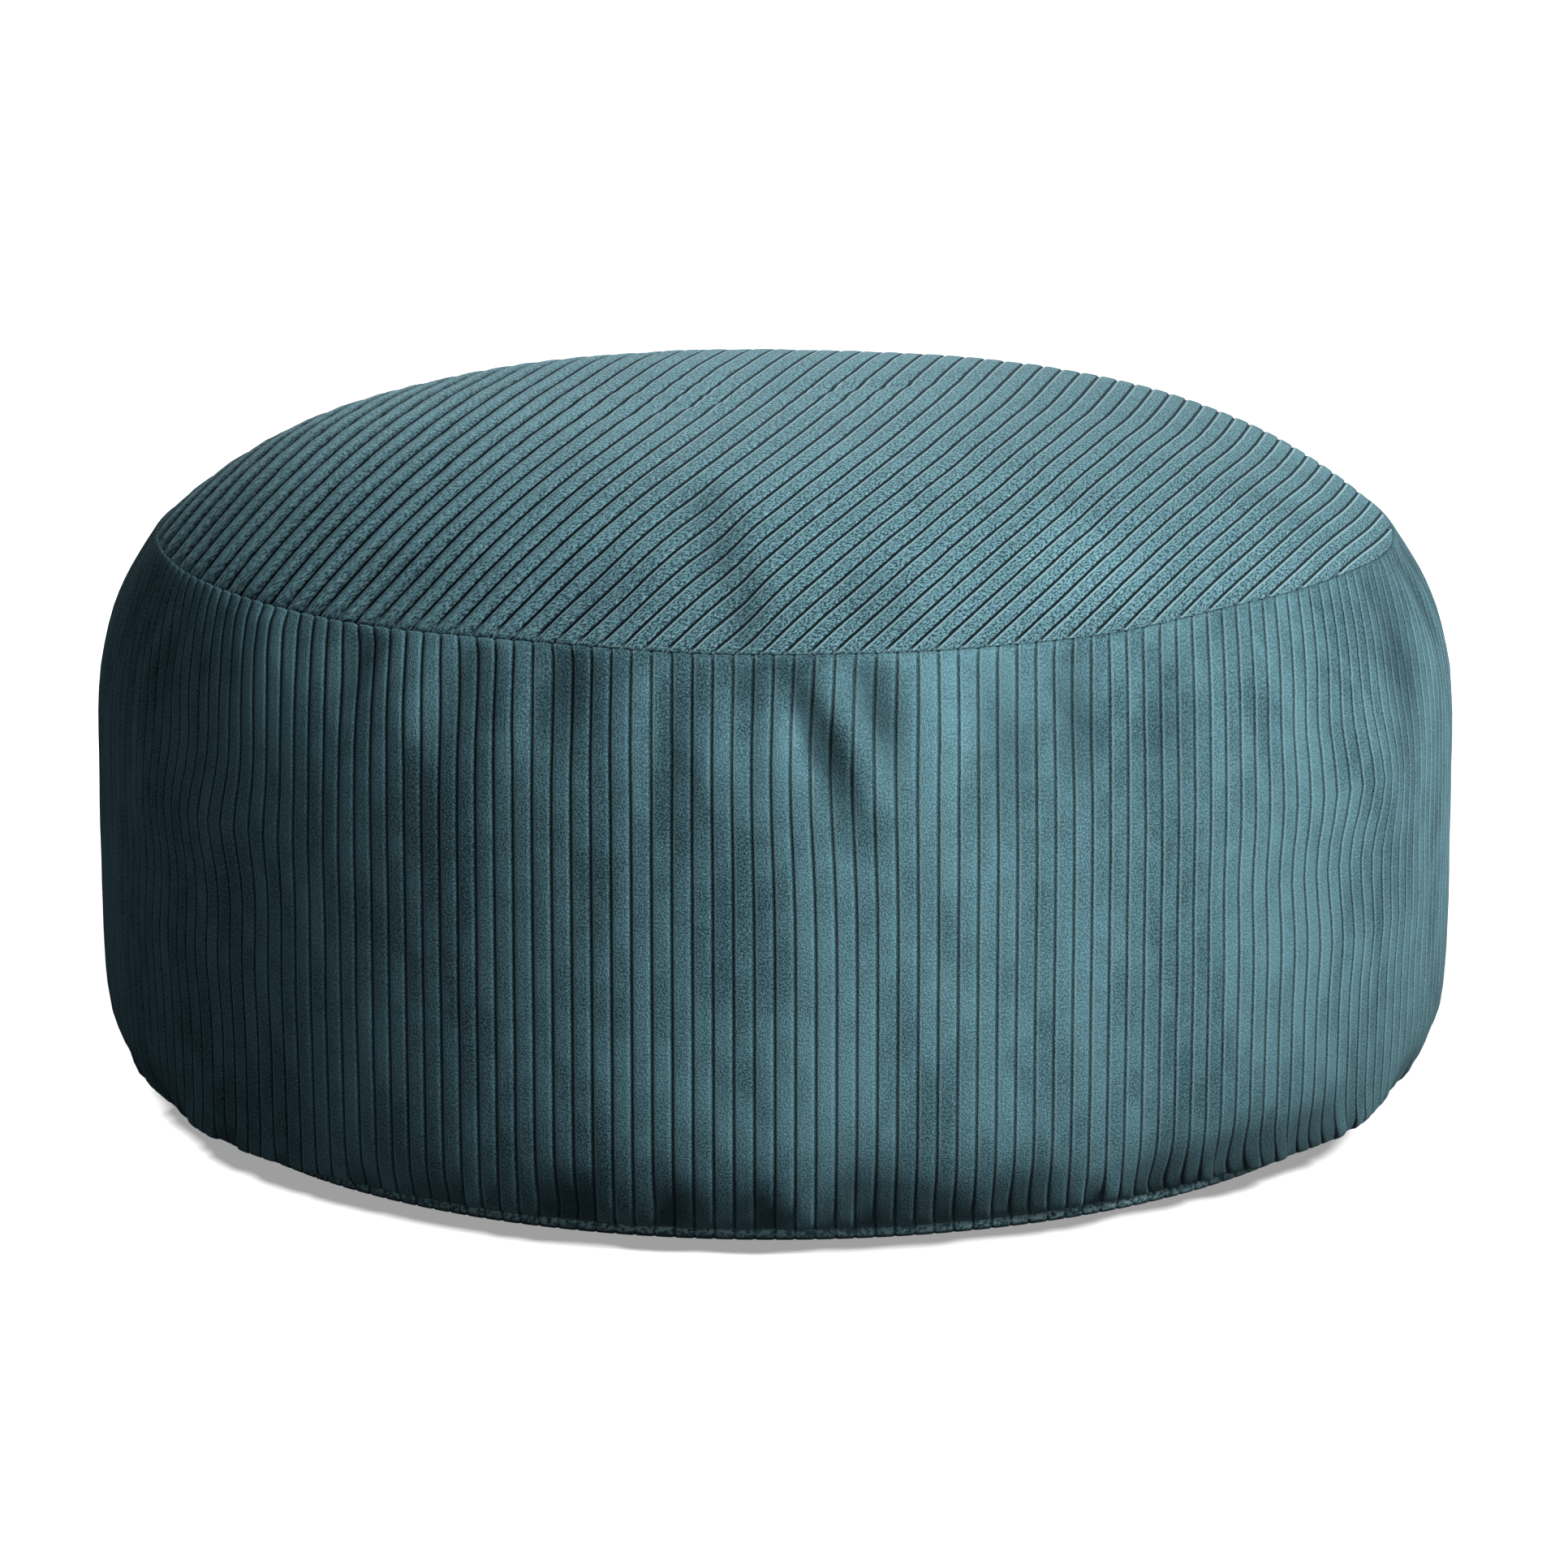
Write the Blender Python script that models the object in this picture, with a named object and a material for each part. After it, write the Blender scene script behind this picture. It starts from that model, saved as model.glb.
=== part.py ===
"""A round corduroy bean bag: one filled drum with a crowned top, resting on a flat base.

Three pieces are cut and sewn. The side band runs round the filling with its wales
upright, the top panel is a crowned disc with gently bowed wales, and the base panel is a
plain flat disc. The band and what fills it are one solid, bag_body, and both panels are
sheets of cloth on it.

Units are metres, +Z is up, and the origin is the middle of the base on the floor. The
front faces -Y. An angle runs round +Z from the front and is positive towards +X, so a
point at radius r and angle a is at (r sin a, -r cos a).
"""

import math
import random
from collections import namedtuple

import bmesh
import bpy

# Driving dimensions
MAX_RADIUS = 0.300
BASE_RADIUS = 0.2590
SEAM_RADIUS = 0.2715
SEAM_HEIGHT = 0.2490
CROWN_RISE = 0.0570
CROWN_POWER = 4.2

# Cloth
CLOTH = 0.0026
GAP = 0.0003
LIP = 0.0004
WALE_DEPTH = 0.0014
GROOVE_SHARE = 0.15
SEAM_FADE_POWER = 16
SIDE_WALES = 228
TOP_WALE_PITCH = 0.0103
TOP_WALE_ANGLE = math.radians(77.6)

# The filling bows the top wales towards the seam. The bow is measured across the wales. It
# grows with a power of the radius, and is largest at an angle, in degrees, by a share.
TOP_BOW = 0.0824
TOP_BOW_POWER = 3.7
TOP_BOW_TURN = 46
TOP_BOW_SHARE = 0.68

# Mesh steps
CHORD_STEPS = 10
UNDER_LINES = 30
UNDER_STEPS = 8
BASE_SIDES = 114
LAST_CHORD_SHARE = 0.995
HALVINGS = 32

SideRow = namedtuple("SideRow", "height radius fold_share")
Fold = namedtuple("Fold", "angle height half_angle half_height depth lean")
Puckers = namedtuple("Puckers", "height half_height spacing narrow wide shallow deep lean")
Dent = namedtuple("Dent", "angle radius half_angle half_reach depth")
SeamPoint = namedtuple("SeamPoint", "angle lift")
Waver = namedtuple("Waver", "angle height half_angle half_height shift")

# The side from the base to the top seam: radii over the wales' crests, and how much of
# the folds' depth each row takes. The first two rows are the turned edge at the base, and
# the last is a lip that stands just above the top panel's rim.
SIDE_ROWS = (
    SideRow(CLOTH + GAP, BASE_RADIUS, 0.0),
    SideRow(0.0068, 0.2690, 0.3),
    SideRow(0.0180, 0.2885, 1.0),
    SideRow(0.0450, 0.2985, 1.0),
    SideRow(0.1050, MAX_RADIUS, 1.0),
    SideRow(0.1880, 0.2985, 1.0),
    SideRow(0.2300, 0.2860, 1.0),
    SideRow(SEAM_HEIGHT + LIP, 0.2746, 0.3),
)

# Soft troughs (positive depth) and swells (negative depth) of the side. Angles and half
# angles are in degrees, heights and depths in metres, and lean is in degrees per metre
# of height.
FRONT_FOLDS = (
    Fold(-48, 0.236, 3.0, 0.020, -0.0025, 0),
    Fold(-37, 0.232, 2.4, 0.024, 0.0042, 0),
    Fold(-26, 0.230, 2.6, 0.026, 0.0045, 20),
    Fold(-17.5, 0.234, 2.4, 0.028, 0.0050, 0),
    Fold(-11.5, 0.222, 2.6, 0.022, -0.0028, 0),
    Fold(-8, 0.208, 2.2, 0.026, 0.0030, -20),
    Fold(-2.0, 0.238, 1.8, 0.016, 0.0035, 0),
    Fold(0.5, 0.215, 2.2, 0.024, -0.0028, 0),
    Fold(3.6, 0.218, 1.8, 0.030, 0.0055, -90),
    Fold(8.5, 0.228, 2.0, 0.026, 0.0036, -30),
    Fold(18.5, 0.212, 3.0, 0.030, 0.0026, 0),
    Fold(25, 0.220, 2.6, 0.026, 0.0036, 0),
    Fold(-52, 0.150, 5.0, 0.050, -0.0030, 60),
    Fold(58, 0.165, 4.5, 0.040, -0.0035, -60),
    Fold(66, 0.215, 4.0, 0.030, 0.0032, 40),
    Fold(-54, 0.013, 11.0, 0.014, -0.0045, 0),
    Fold(54, 0.013, 11.0, 0.014, -0.0045, 0),
    Fold(-17, 0.022, 3.0, 0.014, 0.0035, 0),
    Fold(-8, 0.022, 2.6, 0.014, 0.0040, 0),
    Fold(-2, 0.020, 2.4, 0.013, 0.0036, 0),
    Fold(7.5, 0.024, 2.8, 0.017, 0.0050, 0),
    Fold(13, 0.020, 2.4, 0.013, 0.0036, 0),
    Fold(20.5, 0.021, 3.2, 0.014, 0.0044, 0),
    Fold(33, 0.021, 3.0, 0.013, 0.0042, 0),
    Fold(41, 0.022, 3.2, 0.014, 0.0046, 0),
    Fold(50, 0.022, 3.0, 0.014, 0.0044, 0),
    Fold(69, 0.022, 3.4, 0.014, 0.0042, 0),
)

# The rest of the way round, a row of puckers goes on at each seam. The spacing is in
# degrees, and each pucker's half angle, depth and lean lie between the limits given.
BACK_START = 78
BACK_END = 300
BACK_PUCKERS = (
    Puckers(0.230, 0.025, 10.0, 2.2, 3.0, 0.0025, 0.0048, 40),
    Puckers(0.022, 0.014, 9.5, 2.4, 3.4, 0.0032, 0.0048, 0),
)
SPACING_SPREAD = 0.3
BACK_SEED = 7

# Shallow dents (positive depth) and swells (negative depth) of the top panel. Angles and
# half angles are in degrees, radii and half reaches in metres.
TOP_DENTS = (
    Dent(-38, 0.252, 5.0, 0.016, 0.0016),
    Dent(-17, 0.246, 4.5, 0.020, 0.0018),
    Dent(-2, 0.240, 3.6, 0.030, 0.0034),
    Dent(9, 0.248, 4.0, 0.020, 0.0016),
    Dent(31, 0.240, 6.0, 0.022, -0.0014),
    Dent(64, 0.236, 5.0, 0.024, 0.0018),
    Dent(118, 0.244, 5.0, 0.022, 0.0020),
    Dent(176, 0.246, 4.4, 0.022, 0.0024),
    Dent(231, 0.244, 5.2, 0.024, 0.0020),
    Dent(287, 0.246, 4.6, 0.020, 0.0018),
)

# How far the top seam rides above or below its mean height. The side follows it with one
# power of its height, so that the base stays flat, and the crown with one of its radius.
SIDE_LIFT_POWER = 3
CROWN_LIFT_POWER = 2
SEAM_LINE = (
    SeamPoint(-88, 0.0005),
    SeamPoint(-66, -0.0014),
    SeamPoint(-43, -0.0020),
    SeamPoint(-21, 0.0000),
    SeamPoint(-4, -0.0018),
    SeamPoint(13, -0.0010),
    SeamPoint(26, 0.0002),
    SeamPoint(46, 0.0038),
    SeamPoint(60, 0.0034),
    SeamPoint(82, -0.0006),
    SeamPoint(120, 0.0016),
    SeamPoint(165, -0.0014),
    SeamPoint(210, 0.0018),
    SeamPoint(245, -0.0010),
)

# Where the side wales waver: a sideways shift in degrees.
WAVERS = (
    Waver(52, 0.150, 12, 0.040, 1.1),
    Waver(63, 0.215, 10, 0.030, -1.3),
    Waver(-50, 0.165, 12, 0.040, -1.1),
    Waver(-62, 0.090, 10, 0.040, 0.9),
    Waver(4, 0.205, 6, 0.040, -0.5),
    Waver(140, 0.160, 14, 0.045, 1.0),
    Waver(205, 0.110, 13, 0.045, -1.0),
)

CORD_COLOUR = (0.095, 0.225, 0.255, 1.0)
CORD_ROUGHNESS = 0.95


def wrapped(degrees):
    """An angle difference in degrees, brought to -180 to 180."""
    return (degrees + 180) % 360 - 180


def back_folds():
    """Puckers at both seams where the front table has none."""
    rng = random.Random(BACK_SEED)
    folds = []
    for row in BACK_PUCKERS:
        angle = BACK_START
        while angle < BACK_END:
            half_angle = rng.uniform(row.narrow, row.wide)
            depth = rng.uniform(row.shallow, row.deep)
            lean = rng.uniform(-row.lean, row.lean)
            folds.append(Fold(angle, row.height, half_angle, row.half_height, depth, lean))
            angle += row.spacing * rng.uniform(1 - SPACING_SPREAD, 1 + SPACING_SPREAD)
    return folds


FOLDS = (*FRONT_FOLDS, *back_folds())


def bell(along, across):
    """1 at the middle, fading smoothly to 0 within about two half widths."""
    return math.exp(-along * along - across * across)


def fold_depth(angle, height):
    """How far the folds draw the side in at an angle in degrees and a height."""
    depth = 0.0
    for fold in FOLDS:
        rise = height - fold.height
        turn = wrapped(angle - fold.angle - fold.lean * rise)
        depth += fold.depth * bell(turn / fold.half_angle, rise / fold.half_height)
    return depth


def waver_shift(angle, height):
    """How far a side wale strays from its upright line, in degrees."""
    shift = 0.0
    for waver in WAVERS:
        turn = wrapped(angle - waver.angle) / waver.half_angle
        rise = (height - waver.height) / waver.half_height
        shift += waver.shift * bell(turn, rise)
    return shift


def seam_lift(angle):
    """The top seam's height above its mean at an angle in degrees, smooth all the way round."""
    first = SEAM_LINE[0]
    closed = (*SEAM_LINE, SeamPoint(first.angle + 360, first.lift))
    turn = (angle - first.angle) % 360 + first.angle
    low, high = next(pair for pair in zip(closed, closed[1:]) if turn <= pair[1].angle)
    share = (turn - low.angle) / (high.angle - low.angle)
    return low.lift + (high.lift - low.lift) * (1 - math.cos(math.pi * share)) / 2


def polar(radius, angle, height):
    """The point at a radius, an angle in degrees and a height."""
    turn = math.radians(angle)
    return (radius * math.sin(turn), -radius * math.cos(turn), height)


def angle_of(point):
    return math.degrees(math.atan2(point[0], -point[1]))


def dent_depth(angle, radius):
    """How far the top panel dips at an angle in degrees and a radius. The seam holds its rim."""
    depth = 0.0
    for dent in TOP_DENTS:
        turn = wrapped(angle - dent.angle) / dent.half_angle
        depth += dent.depth * bell(turn, (radius - dent.radius) / dent.half_reach)
    return depth * (1 - (radius / SEAM_RADIUS) ** SEAM_FADE_POWER)


def crown_height(x, y):
    """The top panel's face over its wales, above the point (x, y)."""
    radius = min(SEAM_RADIUS, math.hypot(x, y))
    angle = angle_of((x, y))
    share = radius / SEAM_RADIUS
    rise = CROWN_RISE * (1 - share**CROWN_POWER) - dent_depth(angle, radius)
    return SEAM_HEIGHT + seam_lift(angle) * share**CROWN_LIFT_POWER + rise


def side_point(angle, row, sunk):
    """A point of the side band, sunk below the wales' crests by that much."""
    height = row.height + seam_lift(angle) * (row.height / SEAM_HEIGHT) ** SIDE_LIFT_POWER
    radius = row.radius - sunk - fold_depth(angle, row.height) * row.fold_share
    return polar(radius, angle + waver_shift(angle, row.height), height)


def side_columns():
    """Angle and depth of each upright line: a narrow groove, then the wale's two shoulders."""
    pitch = 360 / SIDE_WALES
    for wale in range(SIDE_WALES):
        groove = wale * pitch
        yield groove, WALE_DEPTH
        yield groove + GROOVE_SHARE * pitch, 0.0
        yield groove + (1 - GROOVE_SHARE) * pitch, 0.0


def turned(across, along):
    """The point at a distance across the wales' direction and a distance along it."""
    x = math.sin(TOP_WALE_ANGLE) * across + math.cos(TOP_WALE_ANGLE) * along
    return x, math.sin(TOP_WALE_ANGLE) * along - math.cos(TOP_WALE_ANGLE) * across


def eased(step, steps):
    """0 to 1 over the steps, closer together at both ends."""
    return (1 - math.cos(math.pi * step / steps)) / 2


def bow(x, y):
    """How far the wale through (x, y) is bowed there."""
    share = min(1.0, math.hypot(x, y) / SEAM_RADIUS)
    turn = math.radians(angle_of((x, y)) - TOP_BOW_TURN)
    uneven = (1 + TOP_BOW_SHARE * math.cos(turn)) / (1 + TOP_BOW_SHARE)
    return TOP_BOW * share**TOP_BOW_POWER * uneven


def bowed_rim():
    """The middle, half width and direction of the bowed wales' places along the rim.

    The direction is the angle, in radians, where the rim meets the last wale.
    """
    middle = TOP_BOW / (1 + TOP_BOW_SHARE)
    swing = middle * TOP_BOW_SHARE
    side = SEAM_RADIUS * math.sin(TOP_WALE_ANGLE) + swing * math.sin(math.radians(TOP_BOW_TURN))
    front = SEAM_RADIUS * math.cos(TOP_WALE_ANGLE) + swing * math.cos(math.radians(TOP_BOW_TURN))
    return middle, math.hypot(side, front), math.atan2(side, front)


BOW_MIDDLE, BOW_REACH, BOW_DIRECTION = bowed_rim()


def point_on_wale(place, along):
    """The point of the wale at that place that lies at a distance along."""
    high = math.sqrt(max(0.0, SEAM_RADIUS**2 - along**2))
    low = -high
    for _ in range(HALVINGS):
        across = (low + high) / 2
        if across + bow(*turned(across, along)) < place:
            low = across
        else:
            high = across
    return turned((low + high) / 2, along)


def wale_line(place):
    """Points along one bowed wale of the top panel, from rim to rim."""
    half = math.acos((place - BOW_MIDDLE) / BOW_REACH)
    start, end = (
        SEAM_RADIUS * math.sin(BOW_DIRECTION + side * half - TOP_WALE_ANGLE) for side in (-1, 1)
    )
    reaches = [start + (end - start) * eased(step, CHORD_STEPS) for step in range(CHORD_STEPS + 1)]
    return [point_on_wale(place, along) for along in reaches]


def straight_line(across, radius, steps):
    """Points along one straight chord of a disc, in the direction of the top wales."""
    half = math.sqrt(radius**2 - across**2)
    return [turned(across, half * (2 * eased(step, steps) - 1)) for step in range(steps + 1)]


def add_ring(mesh, points):
    return [mesh.verts.new(point) for point in points]


def join_rings(mesh, low, high):
    """Quads between two rings with as many points."""
    for i in range(len(low)):
        following = (i + 1) % len(low)
        mesh.faces.new((low[i], low[following], high[following], high[i]))


def zip_rings(mesh, outer, inner):
    """Triangles between two rings round +Z with different numbers of points."""
    first, second = by_angle(outer), by_angle(inner)
    i = j = 0
    while i < len(first) or j < len(second):
        next_first = turn_of(first, i + 1)
        next_second = turn_of(second, j + 1)
        a, b = first[i % len(first)][1], second[j % len(second)][1]
        if j >= len(second) or (i < len(first) and next_first <= next_second):
            mesh.faces.new((a, first[(i + 1) % len(first)][1], b))
            i += 1
        else:
            mesh.faces.new((b, a, second[(j + 1) % len(second)][1]))
            j += 1


def by_angle(ring):
    """A ring's (angle, vertex) pairs, starting from -180 degrees."""
    return sorted(((angle_of(vertex.co), vertex) for vertex in ring), key=lambda pair: pair[0])


def turn_of(pairs, index):
    """The angle of a pair that may be past the end of the ring, a full turn on."""
    return pairs[index % len(pairs)][0] + 360 * (index // len(pairs))


def fill_chord_grid(mesh, grid, tips):
    """Faces over a chord grid. Returns the vertices on its rim."""
    lines = [add_ring(mesh, line) for line in grid]
    ends = add_ring(mesh, tips)
    for near, far in zip(lines, lines[1:]):
        for i in range(len(near) - 1):
            mesh.faces.new((near[i], near[i + 1], far[i + 1], far[i]))
    for tip, line in ((ends[0], lines[0]), (ends[1], lines[-1])):
        for i in range(len(line) - 1):
            mesh.faces.new((tip, line[i], line[i + 1]))
    return [*ends, *(line[0] for line in lines), *(line[-1] for line in lines)]


def top_wale_rows():
    """Place and depth of the lines of the top panel's face: groove, shoulder, shoulder."""
    tip = BOW_REACH * LAST_CHORD_SHARE
    first = math.ceil((BOW_MIDDLE - tip) / TOP_WALE_PITCH)
    last = math.floor((BOW_MIDDLE + tip) / TOP_WALE_PITCH)
    rows = [(BOW_MIDDLE - tip, 0.0)]
    for wale in range(first, last):
        groove = wale * TOP_WALE_PITCH
        rows.append((groove, WALE_DEPTH))
        rows.append((groove + GROOVE_SHARE * TOP_WALE_PITCH, 0.0))
        rows.append((groove + (1 - GROOVE_SHARE) * TOP_WALE_PITCH, 0.0))
    rows.append((last * TOP_WALE_PITCH, WALE_DEPTH))
    rows.append((BOW_MIDDLE + tip, 0.0))
    return rows


def sunk_point(x, y, sunk):
    """A point of the top panel's face. At the rim the seam presses the wales flat."""
    fade = 1 - (math.hypot(x, y) / SEAM_RADIUS) ** SEAM_FADE_POWER
    return x, y, crown_height(x, y) - sunk * fade


def face_grid():
    """The top panel's face along its wales, and the two points of the rim past the last ones."""
    grid = [[sunk_point(x, y, sunk) for x, y in wale_line(place)] for place, sunk in top_wale_rows()]
    last = math.degrees(BOW_DIRECTION)
    tips = [polar(SEAM_RADIUS, angle, 0.0) for angle in (last + 180, last)]
    return grid, [sunk_point(x, y, 0.0) for x, y, _ in tips]


def under_grid(drop):
    """The smooth underside of the top panel, lowered by drop."""
    radius = SEAM_RADIUS - CLOTH / 2
    places = [radius * (2 * eased(i, UNDER_LINES) - 1) for i in range(1, UNDER_LINES)]
    grid = [
        [(x, y, crown_height(x, y) - drop) for x, y in straight_line(place, radius, UNDER_STEPS)]
        for place in places
    ]
    tips = [turned(side * radius, 0.0) for side in (-1, 1)]
    return grid, [(x, y, crown_height(x, y) - drop) for x, y in tips]


def cord_material(name):
    material = bpy.data.materials.new(name)
    material.use_nodes = True
    shader = material.node_tree.nodes["Principled BSDF"]
    shader.inputs["Base Color"].default_value = CORD_COLOUR
    shader.inputs["Roughness"].default_value = CORD_ROUGHNESS
    shader.inputs["Metallic"].default_value = 0.0
    return material


def finish(name, mesh):
    """Turns a bmesh into an object of that name, with its own material."""
    bmesh.ops.recalc_face_normals(mesh, faces=mesh.faces[:])
    data = bpy.data.meshes.new(name)
    mesh.to_mesh(data)
    mesh.free()
    data.materials.append(cord_material(f"{name}_cord"))
    part = bpy.data.objects.new(name, data)
    bpy.context.scene.collection.objects.link(part)
    return part


def bag_body():
    """The filled drum: the side band's wales and folds outside, and the crown under the top panel."""
    mesh = bmesh.new()
    columns = list(side_columns())
    rings = [
        add_ring(mesh, [side_point(angle, row, sunk) for angle, sunk in columns])
        for row in SIDE_ROWS
    ]
    for low, high in zip(rings, rings[1:]):
        join_rings(mesh, low, high)
    mesh.faces.new(rings[0])
    rim = fill_chord_grid(mesh, *under_grid(CLOTH + GAP))
    zip_rings(mesh, rings[-1], rim)
    return finish("bag_body", mesh)


def top_panel():
    """The crowned disc of cloth, with its wales on its face and a smooth back."""
    mesh = bmesh.new()
    face_rim = fill_chord_grid(mesh, *face_grid())
    back_rim = fill_chord_grid(mesh, *under_grid(CLOTH))
    zip_rings(mesh, face_rim, back_rim)
    return finish("top_panel", mesh)


def base_panel():
    """The plain flat disc that the bag stands on."""
    mesh = bmesh.new()
    radius = BASE_RADIUS - CLOTH
    angles = [360 * i / BASE_SIDES for i in range(BASE_SIDES)]
    low = add_ring(mesh, [polar(radius, angle, 0.0) for angle in angles])
    high = add_ring(mesh, [polar(radius, angle, CLOTH) for angle in angles])
    join_rings(mesh, low, high)
    mesh.faces.new(low)
    mesh.faces.new(high)
    return finish("base_panel", mesh)


def main():
    for thing in list(bpy.data.objects):
        bpy.data.objects.remove(thing)
    bag_body()
    top_panel()
    base_panel()


main()
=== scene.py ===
"""The looks of a round corduroy bean bag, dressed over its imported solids.

The side band, top panel and base panel are modelled wale by wale. A coarse cover, cut with
more cloth than its seams can take, is simulated first under pressure, and the puckers that
form in it are passed on to the fine pieces.

Units are metres and +Z is up. An angle is in degrees, runs round +Z from the front (-Y)
and is positive towards +X.
"""

import math
import random
from collections import namedtuple

import bpy
import numpy as np
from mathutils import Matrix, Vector


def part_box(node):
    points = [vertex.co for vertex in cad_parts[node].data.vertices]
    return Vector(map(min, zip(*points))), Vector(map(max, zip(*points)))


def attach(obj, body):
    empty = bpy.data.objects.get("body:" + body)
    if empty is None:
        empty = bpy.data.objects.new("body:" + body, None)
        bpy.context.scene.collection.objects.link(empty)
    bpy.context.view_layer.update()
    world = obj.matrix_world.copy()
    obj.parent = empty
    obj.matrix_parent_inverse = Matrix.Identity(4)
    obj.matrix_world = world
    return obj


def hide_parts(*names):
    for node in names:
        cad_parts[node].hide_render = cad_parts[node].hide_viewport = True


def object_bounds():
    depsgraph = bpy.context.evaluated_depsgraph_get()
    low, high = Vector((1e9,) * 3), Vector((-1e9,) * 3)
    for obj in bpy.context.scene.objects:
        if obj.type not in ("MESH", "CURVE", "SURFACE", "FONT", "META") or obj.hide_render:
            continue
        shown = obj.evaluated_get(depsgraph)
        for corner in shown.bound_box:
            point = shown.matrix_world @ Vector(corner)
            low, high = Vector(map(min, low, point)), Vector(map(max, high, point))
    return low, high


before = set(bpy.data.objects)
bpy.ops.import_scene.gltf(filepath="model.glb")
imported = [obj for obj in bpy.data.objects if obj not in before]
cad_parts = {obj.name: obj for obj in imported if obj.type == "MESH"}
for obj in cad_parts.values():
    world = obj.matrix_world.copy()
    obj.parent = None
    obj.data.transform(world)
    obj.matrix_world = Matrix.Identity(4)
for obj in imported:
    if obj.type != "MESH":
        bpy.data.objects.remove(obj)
CAD_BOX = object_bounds()

WaleForm = namedtuple("WaleForm", "groove crown")
ProfilePoint = namedtuple("ProfilePoint", "height inset")
EdgeRow = namedtuple("EdgeRow", "height inset relief")
Fold = namedtuple("Fold", "angle height half_angle half_height depth lean")
Puckers = namedtuple("Puckers", "height half_height spacing narrow wide shallow deep lean")
Dent = namedtuple("Dent", "angle radius half_angle half_reach depth")
SeamPoint = namedtuple("SeamPoint", "angle lift")
Waver = namedtuple("Waver", "angle height half_angle half_height shift")
Lamp = namedtuple("Lamp", "kind turn rise distance energy size")

# Sizes, from the frame where it has them
MAX_RADIUS = (CAD_BOX[1].x - CAD_BOX[0].x) / 2
TOP_HEIGHT = CAD_BOX[1].z
SEAM_RADIUS = (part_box("top_panel")[1].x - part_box("top_panel")[0].x) / 2
SEAM_HEIGHT = 0.2490
CROWN_RISE = TOP_HEIGHT - SEAM_HEIGHT
CROWN_POWER = 4.2
CLOTH = 0.0026

# Wales
SIDE_WALES = 228
SIDE_PITCH = 360 / SIDE_WALES
TOP_PITCH = 0.0103
TOP_WALE_ANGLE = math.radians(77.6)
# The filling bows the top wales towards the seam, most of all at the angle of the turn.
TOP_BOW = 0.0824
TOP_BOW_POWER = 3.7
TOP_BOW_TURN = 46
TOP_BOW_SHARE = 0.68
HALVINGS = 26
# How deep a groove is, and how far a wale's crest falls towards its edges. The top's wales
# are flat on the right, and plump from the middle to the left.
SIDE_WALE = WaleForm(0.0009, 0.0)
FLAT_WALE = WaleForm(0.0008, 0.0001)
PLUMP_WALE = WaleForm(0.0022, 0.0011)
PLUMP_START = -0.03
PLUMP_REACH = 0.15
GROOVE_HALF_WIDTH = 0.075
# Where the lines of one wale lie, as shares of its pitch from the groove on its left.
WALE_LINES = (0.0, 0.055, 0.13, 0.28, 0.5, 0.72, 0.87, 0.945)

# The side between its seams: how far inside the widest radius it lies at each height.
SIDE_PROFILE = (
    ProfilePoint(0.0072, 0.0315),
    ProfilePoint(0.0110, 0.0215),
    ProfilePoint(0.0160, 0.0130),
    ProfilePoint(0.0250, 0.0065),
    ProfilePoint(0.0450, 0.0016),
    ProfilePoint(0.0750, 0.0002),
    ProfilePoint(0.1200, 0.0000),
    ProfilePoint(0.1600, 0.0002),
    ProfilePoint(0.1850, 0.0014),
    ProfilePoint(0.2050, 0.0048),
    ProfilePoint(0.2220, 0.0112),
    ProfilePoint(0.2360, 0.0190),
    ProfilePoint(0.2470, 0.0262),
)
# The rolled edge at the base, from the underside up to the crease over it.
BASE_EDGE = (
    EdgeRow(0.0010, 0.0440, 0.0),
    EdgeRow(0.0004, 0.0402, 0.2),
    EdgeRow(0.0010, 0.0372, 0.4),
    EdgeRow(0.0022, 0.0349, 0.6),
    EdgeRow(0.0036, 0.0336, 0.6),
    EdgeRow(0.0050, 0.0331, 0.6),
    EdgeRow(0.0059, 0.0334, 0.6),
    EdgeRow(0.0065, 0.0331, 0.8),
)
# The turn into the top seam.
TOP_EDGE = (
    EdgeRow(0.2482, 0.0273, 0.6),
    EdgeRow(0.2489, 0.0281, 0.5),
    EdgeRow(0.2472, 0.0300, 0.3),
)
# How much more the wales turn outward at the sides than near the middle of the front.
SPREAD_RISE = 0.6
# The crease at the top seam is almost flush, but for a stretch on the left. There the top
# panel dips behind the side's lip, which sinks by a share of it.
CREASE_LIP_SHARE = 0.3
CREASE_LEAST = 0.0002
CREASE_MOST = 0.0024
CREASE_ANGLE = -66
CREASE_HALF_ANGLE = 42
CREASE_STEADY = 0.4
CREASE_SCALLOP = 0.4
CREASE_SEED = 5
# Just above the base edge each wale is pinched in by an amount of its own.
PINCH_HEIGHT = 0.0165
PINCH_HALF_HEIGHT = 0.0085
PINCH_MOST = 0.0030
PINCH_POWER = 1.6
PINCH_STEEPNESS = 2.2
PINCH_SEED = 11
ARC_STEPS = 400
BODY_ROWS = 40
# The rows crowd towards both seams by this share.
ROW_CROWDING = 0.64

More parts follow.
